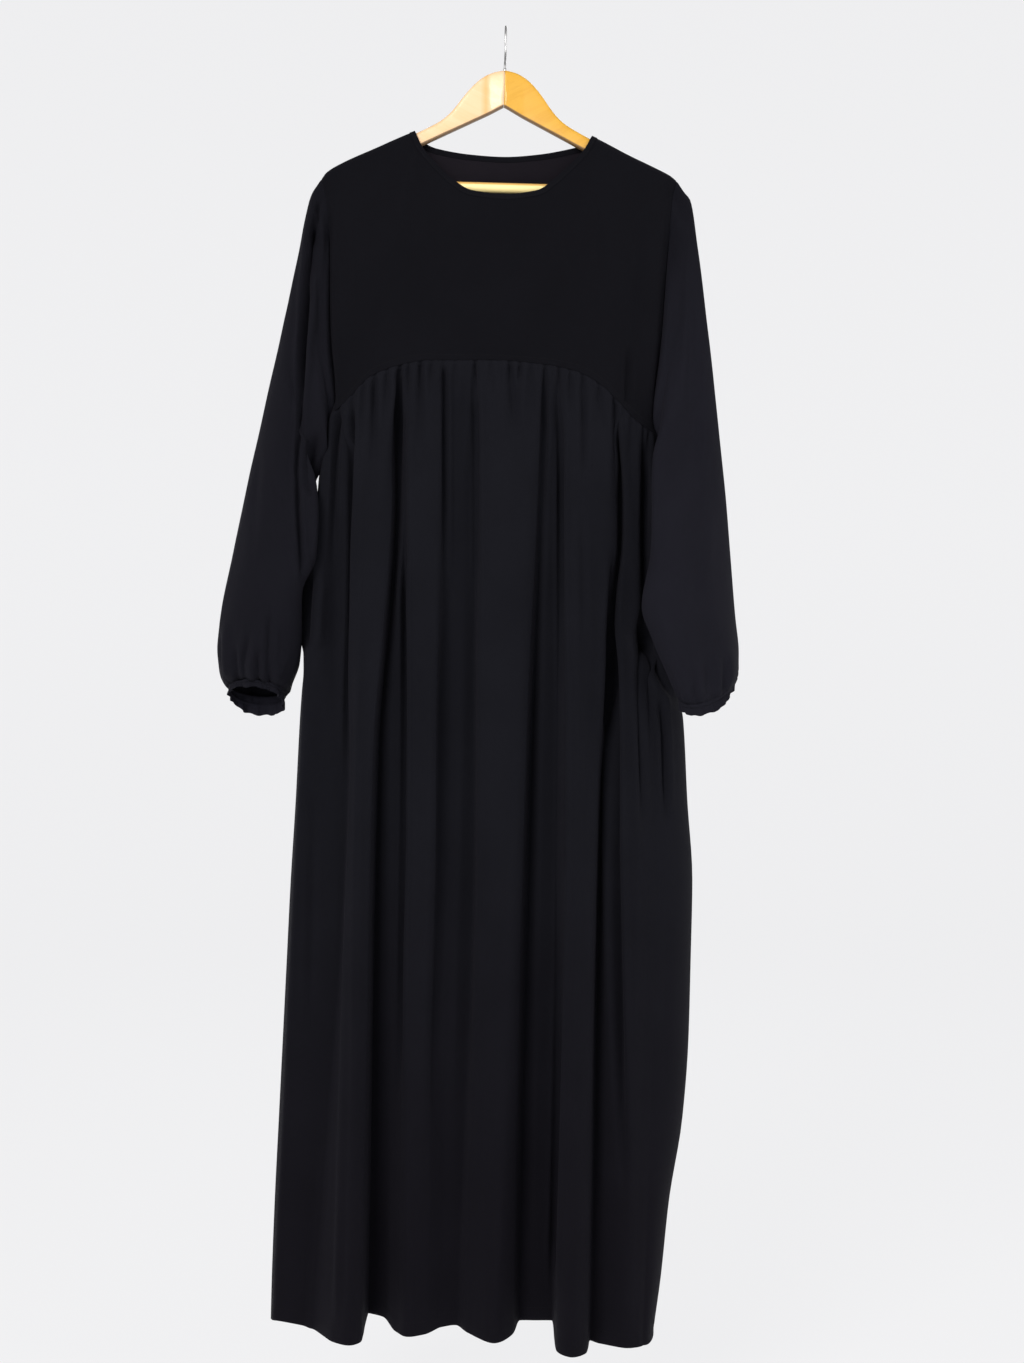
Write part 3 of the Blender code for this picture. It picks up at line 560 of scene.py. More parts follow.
yokeLook = {
    "shoulderShares": (0.0, 0.07, 0.20, 0.40, 0.62, 0.84, 1.0),
    "shoulderDowns": (0.0, 0.0005, 0.004, 0.012, 0.03, 0.08, 0.18, 0.33, 0.52, 0.70, 0.84, 0.94, 1.0),
    "neckDowns": (0.0, 0.010, 0.025, 0.045, 0.08, 0.13, 0.22, 0.36, 0.54, 0.70, 0.84, 0.94, 1.0),
    "rowsBetween": (1, 2, 2, 3, 5, 8, 12, 15, 14, 11, 8, 6),
    "columnsBetween": 6,
    "neckColumns": 20,
    "neckBlend": 3,  # columns
    "underBinding": 0.0026,
    "turnTuck": 0.0008,
    "edgeCalm": 0.03,
    "sideCalm": 0.02,
    "waves": ((0.0011, 11, 5, 3.1), (0.0005, 42, 13, 7.7)),  # height, across, down, seed
    "pucker": (0.0006, 150, 20, 21.0),  # above the gathers the cloth is pulled short
    "puckerReach": 0.012,
    "seamLip": (0.0007, 0.0030),  # height, width
    "seamLine": (0.0004, 0.0085, 0.0018),  # depth, distance from the seam, width
    "armhole": {"left": 0.0105, "right": 0.0110, "width": 0.0062, "fromTop": 0.03, "setIn": 0.05},
    "dimple": {  # below each end of the hanger
        "left": 0.0030, "right": 0.0046, "z": -0.203, "high": 0.011, "wide": 0.009, "fromTop": 0.010,
    },
    "creases": {
        "front": readRows(Crease, [
            (1.6, 6, [(172, -205), (158, -262), (150, -330), (146, -402), (142, -452)], 0.3, 0.5),
            (5, 3.4, [(145.5, -376), (144.2, -420), (142.5, -456)], 0.45, 0.08),
            (1.2, 5, [(-196, -215), (-190, -290), (-186, -370)], 0.4, 0.4),
            (1, 6, [(98, -222), (108, -262), (112, -300)], 0.5, 0.5),
            (0.8, 7, [(60, -240), (78, -290), (86, -330)], 0.5, 0.5),
            (1, 8, [(-150, -180), (-118, -240), (-104, -300)], 0.5, 0.5),
        ], 2),
        "back": readRows(Crease, [
            (1.2, 7, [(-150, -190), (-120, -260), (-100, -340)], 0.5, 0.5),
            (1.2, 7, [(150, -200), (122, -270), (104, -350)], 0.5, 0.5),
            (1, 9, [(10, -185), (6, -280), (12, -380)], 0.5, 0.5),
        ], 2),
    },
}


# Rows from the upper edge down to the seam, each running left to right.
def yokeGrid(panel):
    look, tip, seam = yokeLook, bodyForm["tip"], bodyForm["seam"][panel]
    shares, neckColumns, steps = look["shoulderShares"], look["neckColumns"], len(look["rowsBetween"])
    edgeColumns = len(shares) - 1
    allColumns = 2 * edgeColumns + neckColumns
    column = np.linspace(0, allColumns, allColumns * look["columnsBetween"] + 1)
    fromEnd = np.minimum(column, allColumns - column)
    neckShare = (1 - np.cos(math.pi * np.clip((column - edgeColumns) / neckColumns, 0, 1))) / 2
    turn = np.maximum(1 - np.minimum(neckShare, 1 - neckShare) / bodyShape["neckEnd"], 0.0)
    inset = bodyForm["bindingWidth"] - look["underBinding"] + look["turnTuck"] * turn
    topX, topZ = neckEdge(panel, neckShare, inset)
    shoulderShare = np.interp(fromEnd, range(len(shares)), shares)
    onLeft, onRight = column < edgeColumns, column > allColumns - edgeColumns
    topX = np.where(onLeft, mix(leftSide(tip), topX[0], shoulderShare), topX)
    topX = np.where(onRight, mix(rightSide(tip), topX[-1], shoulderShare), topX)
    topZ = np.where(onLeft | onRight, shoulderZ(topX), topZ)
    u = 2 * column / allColumns - 1
    u = 0.5 * (u + np.sin(math.pi * u / 2))
    leftEnd, rightEnd = seam[0][0], seam[-1][0]
    lowX = mix(leftEnd, rightEnd, (u + 1) / 2)
    lowZ = seamZ[panel](lowX)
    places = np.concatenate([index + np.arange(count) / count
                             for index, count in enumerate(look["rowsBetween"])] + [[float(steps)]])
    toNeck = smoothStep((fromEnd - edgeColumns) / look["neckBlend"])
    shoulderDown, neckDown = (
        smoothCurve(range(steps + 1), look[downs])(places)[:, None] for downs in ("shoulderDowns", "neckDowns"))
    down = mix(shoulderDown, neckDown, toNeck[None, :])
    z = mix(topZ[None, :], lowZ[None, :], down)
    x = mix(topX[None, :], lowX[None, :], down)
    leftPull = leftSide(mix(tip, underarmZ["left"], down)) - mix(leftSide(tip), leftEnd, down)
    rightPull = rightSide(mix(tip, underarmZ["right"], down)) - mix(rightSide(tip), rightEnd, down)
    x = x + leftPull * ((1 - u) / 2) ** 3 + rightPull * ((1 + u) / 2) ** 3
    y = facing[panel] * np.maximum(bodyDepth(x, z), bodyForm["sideGap"] / 2)
    return np.stack([x, y, z], -1)


def yokeSurface(panel):
    look, sign = yokeLook, facing[panel]
    grid = yokeGrid(panel)
    x, z = grid[..., 0], grid[..., 2]
    normal = gridNormals(grid)
    outward = np.where(normal[..., 1:2] * sign < 0, -normal, normal)
    fromTop = gridLengths(grid)[1][:, None]
    fromSeam = fromTop[-1] - fromTop
    fromSides = np.minimum(x - leftSide(z), rightSide(z) - x)
    calm = smoothStep(fromTop / look["edgeCalm"]) * smoothStep(fromSides / look["edgeCalm"])
    push = -creaseField(grid, look["creases"][panel]) * calm
    for layer in look["waves"]:
        push += ripple(x, z, layer, sign) * calm
    pucker = ripple(x, z, look["pucker"], sign) * np.exp(-fromSeam / look["puckerReach"])
    push += pucker * smoothStep(fromSides / look["sideCalm"])
    push += look["seamLip"][0] * bell(fromSeam, look["seamLip"][1])
    armhole, dimple = look["armhole"], look["dimple"]
    sink = np.where(x > 0, armhole["right"], armhole["left"]) * bell(fromSides, armhole["width"])
    setIn = smoothStep((fromTop - armhole["fromTop"]) / armhole["setIn"])
    push -= sink * setIn * smoothStep(fromSeam / look["sideCalm"])
    hollow = np.exp(-((z - dimple["z"]) / dimple["high"]) ** 2 - (fromSides / dimple["wide"]) ** 2)
    push -= np.where(x > 0, dimple["right"], dimple["left"]) * hollow * smoothStep(fromTop / dimple["fromTop"])
    depth, distance, width = look["seamLine"]
    push -= depth * bell(fromSeam - distance, width)
    moved = grid + outward * push[..., None]
    moved[..., 1] = sign * np.maximum(sign * moved[..., 1], bodyForm["sideGap"] / 2)
    return moved


# A fold's x at the seam, the top, the middle and the hem, its y below the seam, and its lift at the hem.
Fold = namedtuple("Fold", "xSeam xTop xMid xHem yTop yMid yHem lift")
Gather = namedtuple("Gather", "x toX depth width length")
skirtLook = {
    "front": {
        "folds": readRows(Fold, [
            (-213, -220, -250, -282, 0, 0, 0, 0),  # left side
            (-207, -225, -243, -274, -24, -28, -22, 6),  # left edge
            (-198, -208, -214, -242, -22, -22, -23, 2),  # left flat
            (-189, -182.8, -188, -229, -23, -23, -28, 0),  # left ridge's foot
            (-185, -178, -181.5, -201, -34, -48, -68, 0),  # left ridge's left edge
            (-170, -169, -174, -183, -40, -58, -77, 0),  # left ridge
            (-131, -132.5, -156.5, -168, -31, -53, -66, 2),  # left ridge's right edge
            (-126.5, -128, -153, -165.5, -4, -10, -1, 12),  # left valley
            (-120, -120.5, -139, -146.5, -21, -21, -9, 11),  # second ridge's left edge
            (-119, -118.5, -122.5, -131, -22, -22, -28, 1),  # second ridge's terrace
            (-113, -113, -115, -116, -35, -40, -42, 0),  # second ridge
            (-88, -85, -82.5, -96, -35, -41, -34, 1),  # second ridge's right edge
            (-73, -70, -66.5, -78, -23, -19, -22, 6),  # second valley
            (-39, -38.5, -38.5, -60, -16, -13, -18, 8),  # second valley's far side
            (-31, -31, -29, -45, -37, -42, -33, 5),  # centre ridge left
            (20, 25, 9, -15, -38, -48, -50, 0),  # centre ridge right
            (43, 37.5, 22, 6, -36, -44, -32, 4),  # centre ridge's right edge
            (49, 43, 29, 16, -23, -9, -1, 11),  # centre valley
            (54, 50, 43, 35, -28, -22, -2, 12),  # centre valley's shoulder
            (62, 62.2, 61.2, 55.5, -23, -20, -3, 13),  # centre valley's terrace
            (67, 67.8, 67.2, 60, -37, -50, -70, 1),  # tall ridge's left edge
            (87, 87, 85, 76, -43, -64, -86, 0),  # tall ridge
            (134, 132.2, 106, 92, -36, -58, -74, 1),  # tall ridge's right edge
            (137.5, 136, 113, 99, -10, -20, -34, 2),  # right valley
            (140, 138.8, 127, 112, -31, -43, -38, 0),  # last ridge's left edge
            (158.5, 156, 154, 140, -34, -57, -49, 0),  # last ridge
            (169, 164.5, 169, 153, -12, -48, -45, 0),  # groove by the sleeve
            (176, 172.5, 180, 162, -24, -45, -37, 0),  # under the sleeve
            (182.2, 181.5, 200, 178, 0, 6, 26, 0),  # right side
        ]),
        "gathers": readRows(Gather, [
            (-201, -205, 2.2, 3, 70), (-181.5, -183, 1.6, 3.2, 60), (-169, -170, 1.8, 2.6, 50),
            (-155.5, -156, 3.4, 3.4, 80), (-140, -142, 2.2, 2.8, 50), (-125.5, -131, 4.6, 4, 130),
            (-115, -116, 1.8, 2.6, 60), (-101, -101, 3.6, 3.4, 85), (-88, -88.5, 1.6, 2.4, 40),
            (-74.5, -74.2, 1.4, 3.2, 60), (-60, -61, 1.4, 2.6, 35), (-36.5, -36.7, 3.4, 3.2, 120),
            (-18, -18.5, 1.2, 2.6, 30), (4.5, 9, 3.6, 3.4, 55), (17.5, 12, 2.6, 3, 50),
            (30, 30, 1.4, 2.6, 35), (46.5, 44, 3, 3.4, 120), (63, 65, 2.2, 3, 90), (76, 76.8, 1.6, 2.4, 40),
            (91.5, 92, 3.4, 3.4, 60), (110.5, 110, 2.8, 3, 35), (129, 134, 4.6, 3.8, 130),
            (149, 148, 1.6, 2.8, 50), (164, 164, 2.2, 3, 70), (170, 169, 2, 2.6, 60),
        ]),
        "creases": readRows(Crease, [
            (9, 3.6, [(-197.5, -452), (-200.5, -500), (-203.7, -570), (-207, -660)], 0.12, 0.45),
            (7, 10, [(-199, -540), (-202, -690), (-203, -860)], 0.35, 0.5),
            (10.5, 3, [(-180.8, -448), (-183.2, -570), (-185.4, -687), (-188.4, -805),
                (-189, -905)], 0.08, 0.3),
            (4, 3.4, [(-156.8, -424), (-156.6, -475), (-156, -540)], 0.15, 0.6),
            (10, 3, [(-121, -600), (-120.7, -690), (-120, -805), (-120.7, -982), (-124.3, -1159),
                (-127, -1280)], 0.15, 0.25),
            (7, 3, [(-72.5, -408), (-72.5, -570), (-72, -690)], 0.05, 0.5),
            (9.5, 9, [(-65, -600), (-71, -800), (-73.5, -980), (-79, -1160), (-85, -1400)], 0.3, 0.3),
            (4.8, 3, [(-34.5, -425), (-34, -570), (-33, -740)], 0.1, 0.4),
            (1.8, 6, [(-3, -408), (6, -440), (8, -500)], 0.3, 0.5),
            (8.8, 3, [(65.8, -440), (65, -570), (66, -687), (67.5, -805), (66.8, -982), (63.2, -1159),
                (59, -1335), (54.5, -1510)], 0.12, 0.06),
            (4, 3, [(92.5, -440), (92, -500), (92.5, -550)], 0.25, 0.4),
            (1.8, 4, [(90, -560), (92, -760)], 0.4, 0.4),
            (14.5, 4.6, [(127.6, -700), (128.6, -805), (128.2, -982), (131.8, -1159),
                (139, -1400)], 0.12, 0.35),
            (8, 3.6, [(159, -690), (156.8, -805), (159, -880), (162, -980)], 0.2, 0.4),
            (10, 3.6, [(181.2, -788), (183, -805), (186.6, -852), (188, -960)], 0.25, 0.4),
            (14, 4.5, [(129, -622), (128, -652), (125.8, -687), (122.8, -735), (120, -805),
                (117.6, -860)], 0.3, 0.25),
            (16, 8, [(160, -708), (167.5, -734.5), (172.2, -746.3), (177.5, -758.1), (184.5, -770),
                (195.8, -787.5), (207.5, -803), (214, -813)], 0.2, 0.2),
            (7, 7, [(157.5, -716), (161.5, -736), (164, -750)], 0.3, 0.3),
            (3.6, 10, [(-161, -690), (-164, -805), (-166, -900)], 0.4, 0.4),
            (22, 8.5, [(-233, -650), (-240, -690), (-241, -720), (-240, -748)], 0.25, 0.22),
            (-3, 4, [(-181, -840), (-188, -1160), (-197.5, -1545)], 0.35, 0.1),
            (1.6, 5, [(-226, -880), (-233, -1220)], 0.4, 0.4),
            (1.4, 5, [(190, -1020), (185, -1280)], 0.4, 0.4),
        ], 2),
        "columns": 430,
    },
    "back": {
        "folds": readRows(Fold, [
            (-213, -220, -250, -282, 0, 0, 0, 0),  # left side
            (-175, -180, -208, -226, 40, 62, 78, 0),  # first ridge
            (-130, -135, -150, -166, 32, 44, 52, 3),  # first valley
            (-90, -91, -100, -106, 46, 72, 94, 0),  # second ridge
            (-45, -43, -47, -52, 34, 44, 54, 4),  # second valley
            (2, 5, 0, -4, 46, 68, 86, 0),  # middle ridge
            (48, 49, 48, 40, 34, 45, 52, 3),  # third valley
            (92, 95, 98, 85, 46, 74, 96, 0),  # third ridge
            (132, 135, 142, 124, 32, 44, 56, 3),  # last valley
            (162, 162, 175, 156, 34, 56, 72, 0),  # last ridge
            (182.2, 181.5, 200, 178, 0, 6, 26, 0),  # right side
        ]),
        "gathers": readRows(Gather, [
            (-195, -198, 2.4, 3.2, 80), (-178, -180, 1.8, 2.8, 50), (-159, -161, 3.6, 3.4, 100),
            (-140, -141, 2.4, 3, 60), (-123, -125, 4, 3.6, 120), (-104, -105, 2, 2.8, 45),
            (-83, -82, 3.4, 3.4, 90), (-64, -65, 2, 2.8, 50), (-45, -44, 4.2, 3.6, 130),
            (-24, -25, 2.2, 3, 50), (-3, -2, 3.4, 3.4, 90), (18, 19, 2, 2.8, 50), (40, 43, 4.2, 3.6, 120),
            (62, 63, 2.2, 3, 60), (83, 85, 3.4, 3.4, 100), (103, 104, 2, 2.8, 50), (121, 126, 4, 3.6, 120),
            (142, 144, 2.6, 3, 60), (163, 164, 2.6, 3, 80),
        ]),
        "creases": readRows(Crease, [
            (2.4, 4.4, [(-190, -520), (-204, -820)], 0.3, 0.5),
            (2.2, 4, [(-110, -560), (-116, -900)], 0.3, 0.5),
            (2.2, 4, [(-70, -700), (-78, -1180)], 0.3, 0.5),
            (2.2, 4, [(26, -520), (22, -860)], 0.3, 0.5),
            (2.2, 4, [(72, -800), (66, -1300)], 0.3, 0.5),
            (2.2, 4, [(118, -560), (124, -840)], 0.3, 0.5),
        ], 2),
        "columns": 330,
    },
    "levels": (0.0, 0.12, 0.42, 1.0),  # seam, top, middle and hem
    "rows": [  # from, to, count
        (0.0, 0.02, 8), (0.02, 0.10, 18), (0.10, 0.20, 12), (0.20, 0.37, 34), (0.37, 0.97, 34), (0.97, 1.0, 8),
    ],
    "seamFlatness": 0.8,
    "hemMiddle": -1.5596,
    "hemSlope": -0.041,
    "joining": 0.075,  # below the seam the folds take over
    "tuckUp": 0.0016,
    "tuckIn": 0.0013,
    "tuckEnd": 0.0022,
    "tuckSides": 0.03,  # shares of the width
    "calmSides": 0.012,
    "gather": {
        "depth": 1.7, "width": 0.75, "widening": 0.9, "farthest": 1.5, "fading": 1.6,
        "begin": 0.002, "setIn": 0.008, "shoulder": 0.35, "shoulderAt": 2.0,
    },
    "puckers": [  # height, across, down and seed of the waves, their reach, and where they set in
        ((0.0013, 165, 9, 11.0), 0.022, 0.001, 0.006), ((0.0016, 70, 4, 5.0), 0.070, 0.0, 0.012),
    ],
    "waves": [((0.0011, 26, 2.2, 31.0), 0.12), ((0.0005, 75, 6.0, 41.0), 0.05)],
    "hemDepth": 0.017,
    "hemStep": (0.00035, 0.0015),  # height, width
    "hemLine": (0.0005, 0.0014),  # depth, width
}


# x and y at positions across the folds, which are the number of the fold on the left plus a share.
def acrossFolds(folds, level, position, leftX, rightX):
    levels, flatness = skirtLook["levels"], skirtLook["seamFlatness"]
    foldX = np.array([smoothCurve(levels, (f.xSeam, f.xTop, f.xMid, f.xHem))(level) for f in folds])
    foldY = np.array([smoothCurve(levels, (f.yTop * flatness, f.yTop, f.yMid, f.yHem))(level) for f in folds])
    foldX[0], foldX[-1] = leftX, rightX
    x, y = (smoothCurve(range(len(folds)), values)(position) for values in (foldX, foldY))
    t = position - (len(folds) - 2)
    x = np.where(t > 0, mix(foldX[-2], foldX[-1], np.sin(math.pi * t / 2)), x)
    y = np.where(t > 0, mix(foldY[-1], foldY[-2], np.cos(math.pi * t / 2)), y)
    if folds[1].yHem > 0:
        t = position
        x = np.where(t < 1, mix(foldX[0], foldX[1], 1 - np.cos(math.pi * t / 2)), x)
        y = np.where(t < 1, mix(foldY[0], foldY[1], np.sin(math.pi * t / 2)), y)
    return x, y


# The folds from end to end at the seam, the middle or the hem.
def wholeRow(folds, part, position):
    level = dict(zip(Fold._fields, skirtLook["levels"]))[part]
    return acrossFolds(folds, level, position, getattr(folds[0], part), getattr(folds[-1], part))


# Positions across the folds whose columns stand about as far apart at each height.
def evenPlaces(folds, columns):
    position = np.linspace(0, len(folds) - 1, 4001)
    share = np.zeros(len(position))
    for part in ("xSeam", "xMid", "xHem"):
        length = runningTotal(np.hypot(*np.diff(wholeRow(folds, part, position), axis=1)))
        share += length / length[-1] / 3
    return np.interp(np.linspace(0, 1, columns + 1), share, position)


# Rows from under the yoke's edge down to the hem, each running left to right.
def skirtSurface(panel, seamLine):
    look, own, sign = skirtLook, skirtLook[panel], facing[panel]
    folds = own["folds"]
    position = evenPlaces(folds, own["columns"])
    topX, _ = wholeRow(folds, "xSeam", position)
    share = (topX - topX[0]) / (topX[-1] - topX[0])
    fromSide = 0.5 - np.abs(share - 0.5)
    topY, topZ = readAt(topX, seamLine[:, 0], seamLine[:, 1:]).T
    endX, _ = wholeRow(folds, "xHem", position)
    lift = smoothCurve(range(len(folds)), [f.lift for f in folds])(position)
    lowZ = look["hemMiddle"] + look["hemSlope"] * endX + lift
    levels = np.concatenate([np.arange(n) / n * (b - a) + a for a, b, n in look["rows"]] + [[1.0]])
    sides = [(side, seamZ["front"](fold.xSeam), look["hemMiddle"] + look["hemSlope"] * fold.xHem)
             for side, fold in ((leftSide, folds[0]), (rightSide, folds[-1]))]
    middle = smoothStep(fromSide / look["tuckSides"])
    rows = []
    for level in levels:
        z = mix(topZ, lowZ, level)
        x, y = acrossFolds(folds, level, position, leftSide(z[0]), rightSide(z[-1]))
        fall = topZ - z
        joined = smoothStep(fall / look["joining"])
        leftMove, rightMove = (side(mix(top, low, level)) - side(top) for side, top, low in sides)
        x = mix(topX + mix(leftMove, rightMove, share), x, joined)
        y = mix(topY, y, joined)
        tucked = 1 - smoothStep(fall / look["tuckEnd"])
        y = y - sign * look["tuckIn"] * tucked * middle
        z = z + look["tuckUp"] * tucked * middle
        rows.append(np.stack([x, y, z], -1))
    grid = np.array(rows)
    x, z = grid[..., 0], grid[..., 2]
    outward = outwardOf(grid, np.array([0.0, sign, 0.0]))
    fall = topZ[None, :] - z
    fallen = np.maximum(fall, 0)
    push = np.zeros(grid.shape[:2])
    form = look["gather"]
    setIn = smoothStep((fall + form["begin"]) / form["setIn"])
    for gather in own["gathers"]:
        down = np.clip(fall / gather.length, 0, form["farthest"])
        width = gather.width * (form["width"] + form["widening"] * down)
        near = (x - mix(gather.x, gather.toX, down)) / width
        fade = setIn * np.exp(-(fallen / gather.length) ** form["fading"])
        shoulder = form["shoulder"] * bell(np.abs(near) - form["shoulderAt"])
        push -= form["depth"] * gather.depth * fade * (bell(near) - shoulder)
    for layer, reach, begin, width in look["puckers"]:
        push += ripple(x, fall, layer, sign) * np.exp(-fallen / reach) * smoothStep((fall + begin) / width)
    push -= creaseField(grid, own["creases"])
    along = gridLengths(grid)[0][None, :]
    for layer, setIn in look["waves"]:
        push += ripple(along, z, layer, sign) * smoothStep(fall / setIn)
    overHem = z - grid[-1:, :, 2] - look["hemDepth"]
    push += look["hemStep"][0] * (1 - smoothStep(overHem / look["hemStep"][1]))
    push -= look["hemLine"][0] * bell(overHem, look["hemLine"][1])
    return grid + outward * (push * smoothStep(fromSide / look["calmSides"])[None, :])[..., None]


# A ring's outer and inner end, its depth in front and behind, the crease along it, the lap of cloth
# over the body, its tilt, and the angle of the crease in degrees.
Ring = namedtuple("Ring", "xOut yOut zOut xIn yIn zIn front back crease lap tilt creaseAt")
sleeveLook = {
    "left": {
        "rings": readRows(Ring, [
            (-234.5, 0, -204, -215, -2, -480, 16.5, 18, 1, 4, 0, 45),
            (-242.5, 0, -244, -217.5, -2, -494, 21, 22, 1, 8, 0, 45),
            (-254.5, -1, -300, -220.5, -3, -515, 24, 27, 3, 12, 0, 60),
            (-260, -2, -328, -223.5, -4, -531, 26, 29, 4, 6, 0, 68),
            (-266, -2, -355, -229, -6, -549, 27, 31, 5, 0, 0, 78),
            (-273, -3, -388, -226.5, -9, -566, 29, 33, 6, 7, 0, 90),
            (-286, -4, -446, -228, -12, -593, 31, 36, 7, 13, 0, 100),
            (-307, -6, -542, -229.2, -16, -636, 35, 42, 6, 13, 0, 122),
            (-325, -8, -626, -245, -16, -679, 40, 46, 3, 10, 0, 150),
            (-340, -8, -700, -244.6, -10, -726, 45, 49, 0, 4, 0.05, 165),
            (-345, -6, -746, -247, -5, -760, 47, 49, 0, 0, 0.15, 170),
            (-343, -4, -772, -256.5, -2, -783, 44, 46, 0, 0, 0.28, 170),
            (-337, -2, -787, -260, 0, -793, 38, 40, 0, 0, 0.33, 170),
        ], 2),
        "cuff": readRows(Ring, [
            (-332.5, 0, -791.5, -264.5, 0, -796, 32.5, 33.5, 0, 0, 0.36, 0),
            (-332, 0, -797, -265.5, 0, -803, 32, 33, 0, 0, 0.46, 0),
            (-332, 0, -802.5, -266, 0, -810.5, 32, 33, 0, 0, 0.56, 0),
        ], 2),
        "creases": readRows(Crease, [
            (8.5, 3, [(-223.5, -206), (-229.8, -255), (-236.5, -334), (-240.3, -382), (-242.5, -430),
                (-243.5, -474), (-246.2, -533), (-244.5, -577), (-240, -640), (-236.9, -680)], 0.03, 0.1),
            (12, 4.2, [(-225, -215), (-231.4, -265), (-237.6, -334), (-241.2, -390),
                (-243.2, -460)], 0.15, 0.25),
            (15, 7.8, [(-225.5, -484), (-226.8, -515), (-229.2, -538), (-230, -566)], 0.35, 0.22),
            (-2.4, 5, [(-219, -215), (-224, -300), (-229, -400)], 0.3, 0.4),
            (3.6, 3.8, [(-298, -716), (-309, -764), (-309.5, -788)], 0.4, 0.1),
            (4, 3.6, [(-276, -690), (-277.5, -745), (-280, -790)], 0.4, 0.1),
            (3.4, 3.4, [(-289, -740), (-293, -788)], 0.4, 0.1),
            (3, 3.4, [(-318, -738), (-317, -788)], 0.4, 0.1),
            (2.6, 3.6, [(-338.5, -715), (-338, -782)], 0.4, 0.2),
            (-2, 5, [(-331, -698), (-332, -790)], 0.4, 0.3),
            (1.4, 5, [(-290, -450), (-296, -560), (-298, -660)], 0.5, 0.5),
        ], 2),
        "roll": (0.0042, -0.0005, 0.0090),
        "rollFrom": 0.030,
        "seed": 2.0,
    },
    "right": {
        "rings": readRows(Ring, [
            (220.5, 0, -206, 190.5, -1, -504, 18, 21, 0, 10, 0, 40),
            (229, -2, -262, 193.5, -5, -521, 22, 26, 3, 18, 0, 50),
            (239.2, -7, -352, 193.5, -12, -541, 24, 31, 4, 29, 0, 65),
            (247, -13, -430, 190.5, -26, -569, 27, 35, 4, 29, 0, 80),
            (253, -20, -496, 181, -45, -602, 30, 37, 3, 20, 0, 90),
            (259, -30, -568, 168.5, -67, -645, 34, 38, 0, 7, 0, 90),
            (264, -35, -640, 157.2, -83, -697, 37, 38, 0, 0, 0, 90),
            (269, -40, -705, 169, -89, -735, 40, 40, 0, 0, -0.1, 90),
            (273, -44, -749, 184.5, -86, -770, 41, 41, 0, 0, -0.2, 90),
            (273, -47, -768, 195.8, -82, -794, 38, 38, 0, 0, -0.42, 90),
        ], 2),
        "cuff": readRows(Ring, [
            (271, -48, -775, 200.6, -78, -803, 35, 35, 0, 0, -0.46, 0),
            (269.5, -48, -779, 201.2, -78, -807, 34.5, 34.5, 0, 0, -0.52, 0),
            (269.5, -48, -784, 202, -78, -813, 34.5, 34.5, 0, 0, -0.58, 0),
        ], 2),
        "creases": readRows(Crease, [
            (2, 5, [(201, -235), (196, -330), (193, -420)], 0.2, 0.4),
            (1.6, 5, [(218, -270), (220, -400), (212, -520)], 0.4, 0.5),
            (2.6, 4, [(252, -750), (252, -780), (251, -796)], 0.3, 0.1),
            (-2.2, 4.4, [(242, -742), (243, -790)], 0.4, 0.2),
            (2.2, 3.4, [(230, -762), (231, -800)], 0.4, 0.1),
            (2, 3.4, [(216, -768), (217, -802)], 0.4, 0.1),
            (1.4, 5, [(235, -560), (226, -640), (206, -715)], 0.5, 0.5),
        ], 2),
        "roll": (0.0026, 0.0010, 0.0110),
        "rollFrom": 0.045,
        "seed": 8.0,
    },
    "armhole": [  # reach down the arm, inset, ditch, share of the roll
        (-0.0020, 0.0012, 0.0, 0.0), (0.0010, 0.0006, 0.0056, 0.0),
        (0.0060, 0.0, 0.0090, 0.8), (0.0150, 0.0, 0.0010, 1.0),
    ],
    "armholeEnds": (0.004, 0.0004),  # kept clear at the underarm and the shoulder
    "armholeGap": 0.0002,
    "reachShare": (0.65, 0.15),  # of the reach, at the shoulder and the underarm
    "reachDown": 0.95,
    "flattest": 0.7,
    "grooveFrom": 0.020,
    "grooveSetIn": 0.10,
    "rollSetIn": (0.08, 0.05, 1.15),
    "columns": 288,
    "creaseSpread": 20,  # degrees
    "lapAt": 138,
    "lapWidth": 34,
    "lapWay": (0.9, -0.8),
    "rowSpacing": 0.0052,
    "cuffRows": (0.004, 0.008, 0.012),
    "cuffGap": 0.0002,
    "gatherWaves": 24,
    "gatherHeight": 0.0019,
    "gatherFade": (0.030, 1.3, 0.003, 0.35),  # reach, power, set in over, start
    "uneven": (7, 11, 0.65, 0.7),  # waves, seed, least, swing
    "longWaves": (0.0036, 9, 0.085, 1.6, 0.02),  # height, count, reach, power, set in over
    "shown": (3, 0.004, 0.020),  # sharpness over the front, begin, set in over
    "calm": (0.006, 0.05, 0.05),  # begin, set in over at the arm and at the cuff
    "soft": (0.0014, 2.2, 1.5, 3.0),  # height, scale round the arm and down it
    "fine": (0.0006, 34, 20, 11),  # height, scale in x, y and z
    "waveRadius": 0.22,
    "waveHeight": 1.6,
}


# The angle runs from the outer end over the front to the inner end.
def ringPoints(ring, angle):
    look = sleeveLook
    c, s = np.cos(angle)[:, None], np.sin(angle)
    outer, inner = np.array(ring[:3]), np.array(ring[3:6])
    depth = np.where(s > 0, ring.front, ring.back) * s
    depth = depth - ring.crease * bell(np.degrees(angle) - ring.creaseAt, look["creaseSpread"]) * (s > 0)
    offset = np.stack([np.zeros_like(depth), -depth, ring.tilt * depth], -1)
    inward, forward = look["lapWay"]
    way = np.array([math.copysign(inward, ring.xIn - ring.xOut), forward, 0.0])[None, :]
    lap = way * (ring.lap * bell(np.degrees(angle) - look["lapAt"], look["lapWidth"]))[:, None]
    return (outer + inner) / 2 + (outer - inner) / 2 * c + offset + lap


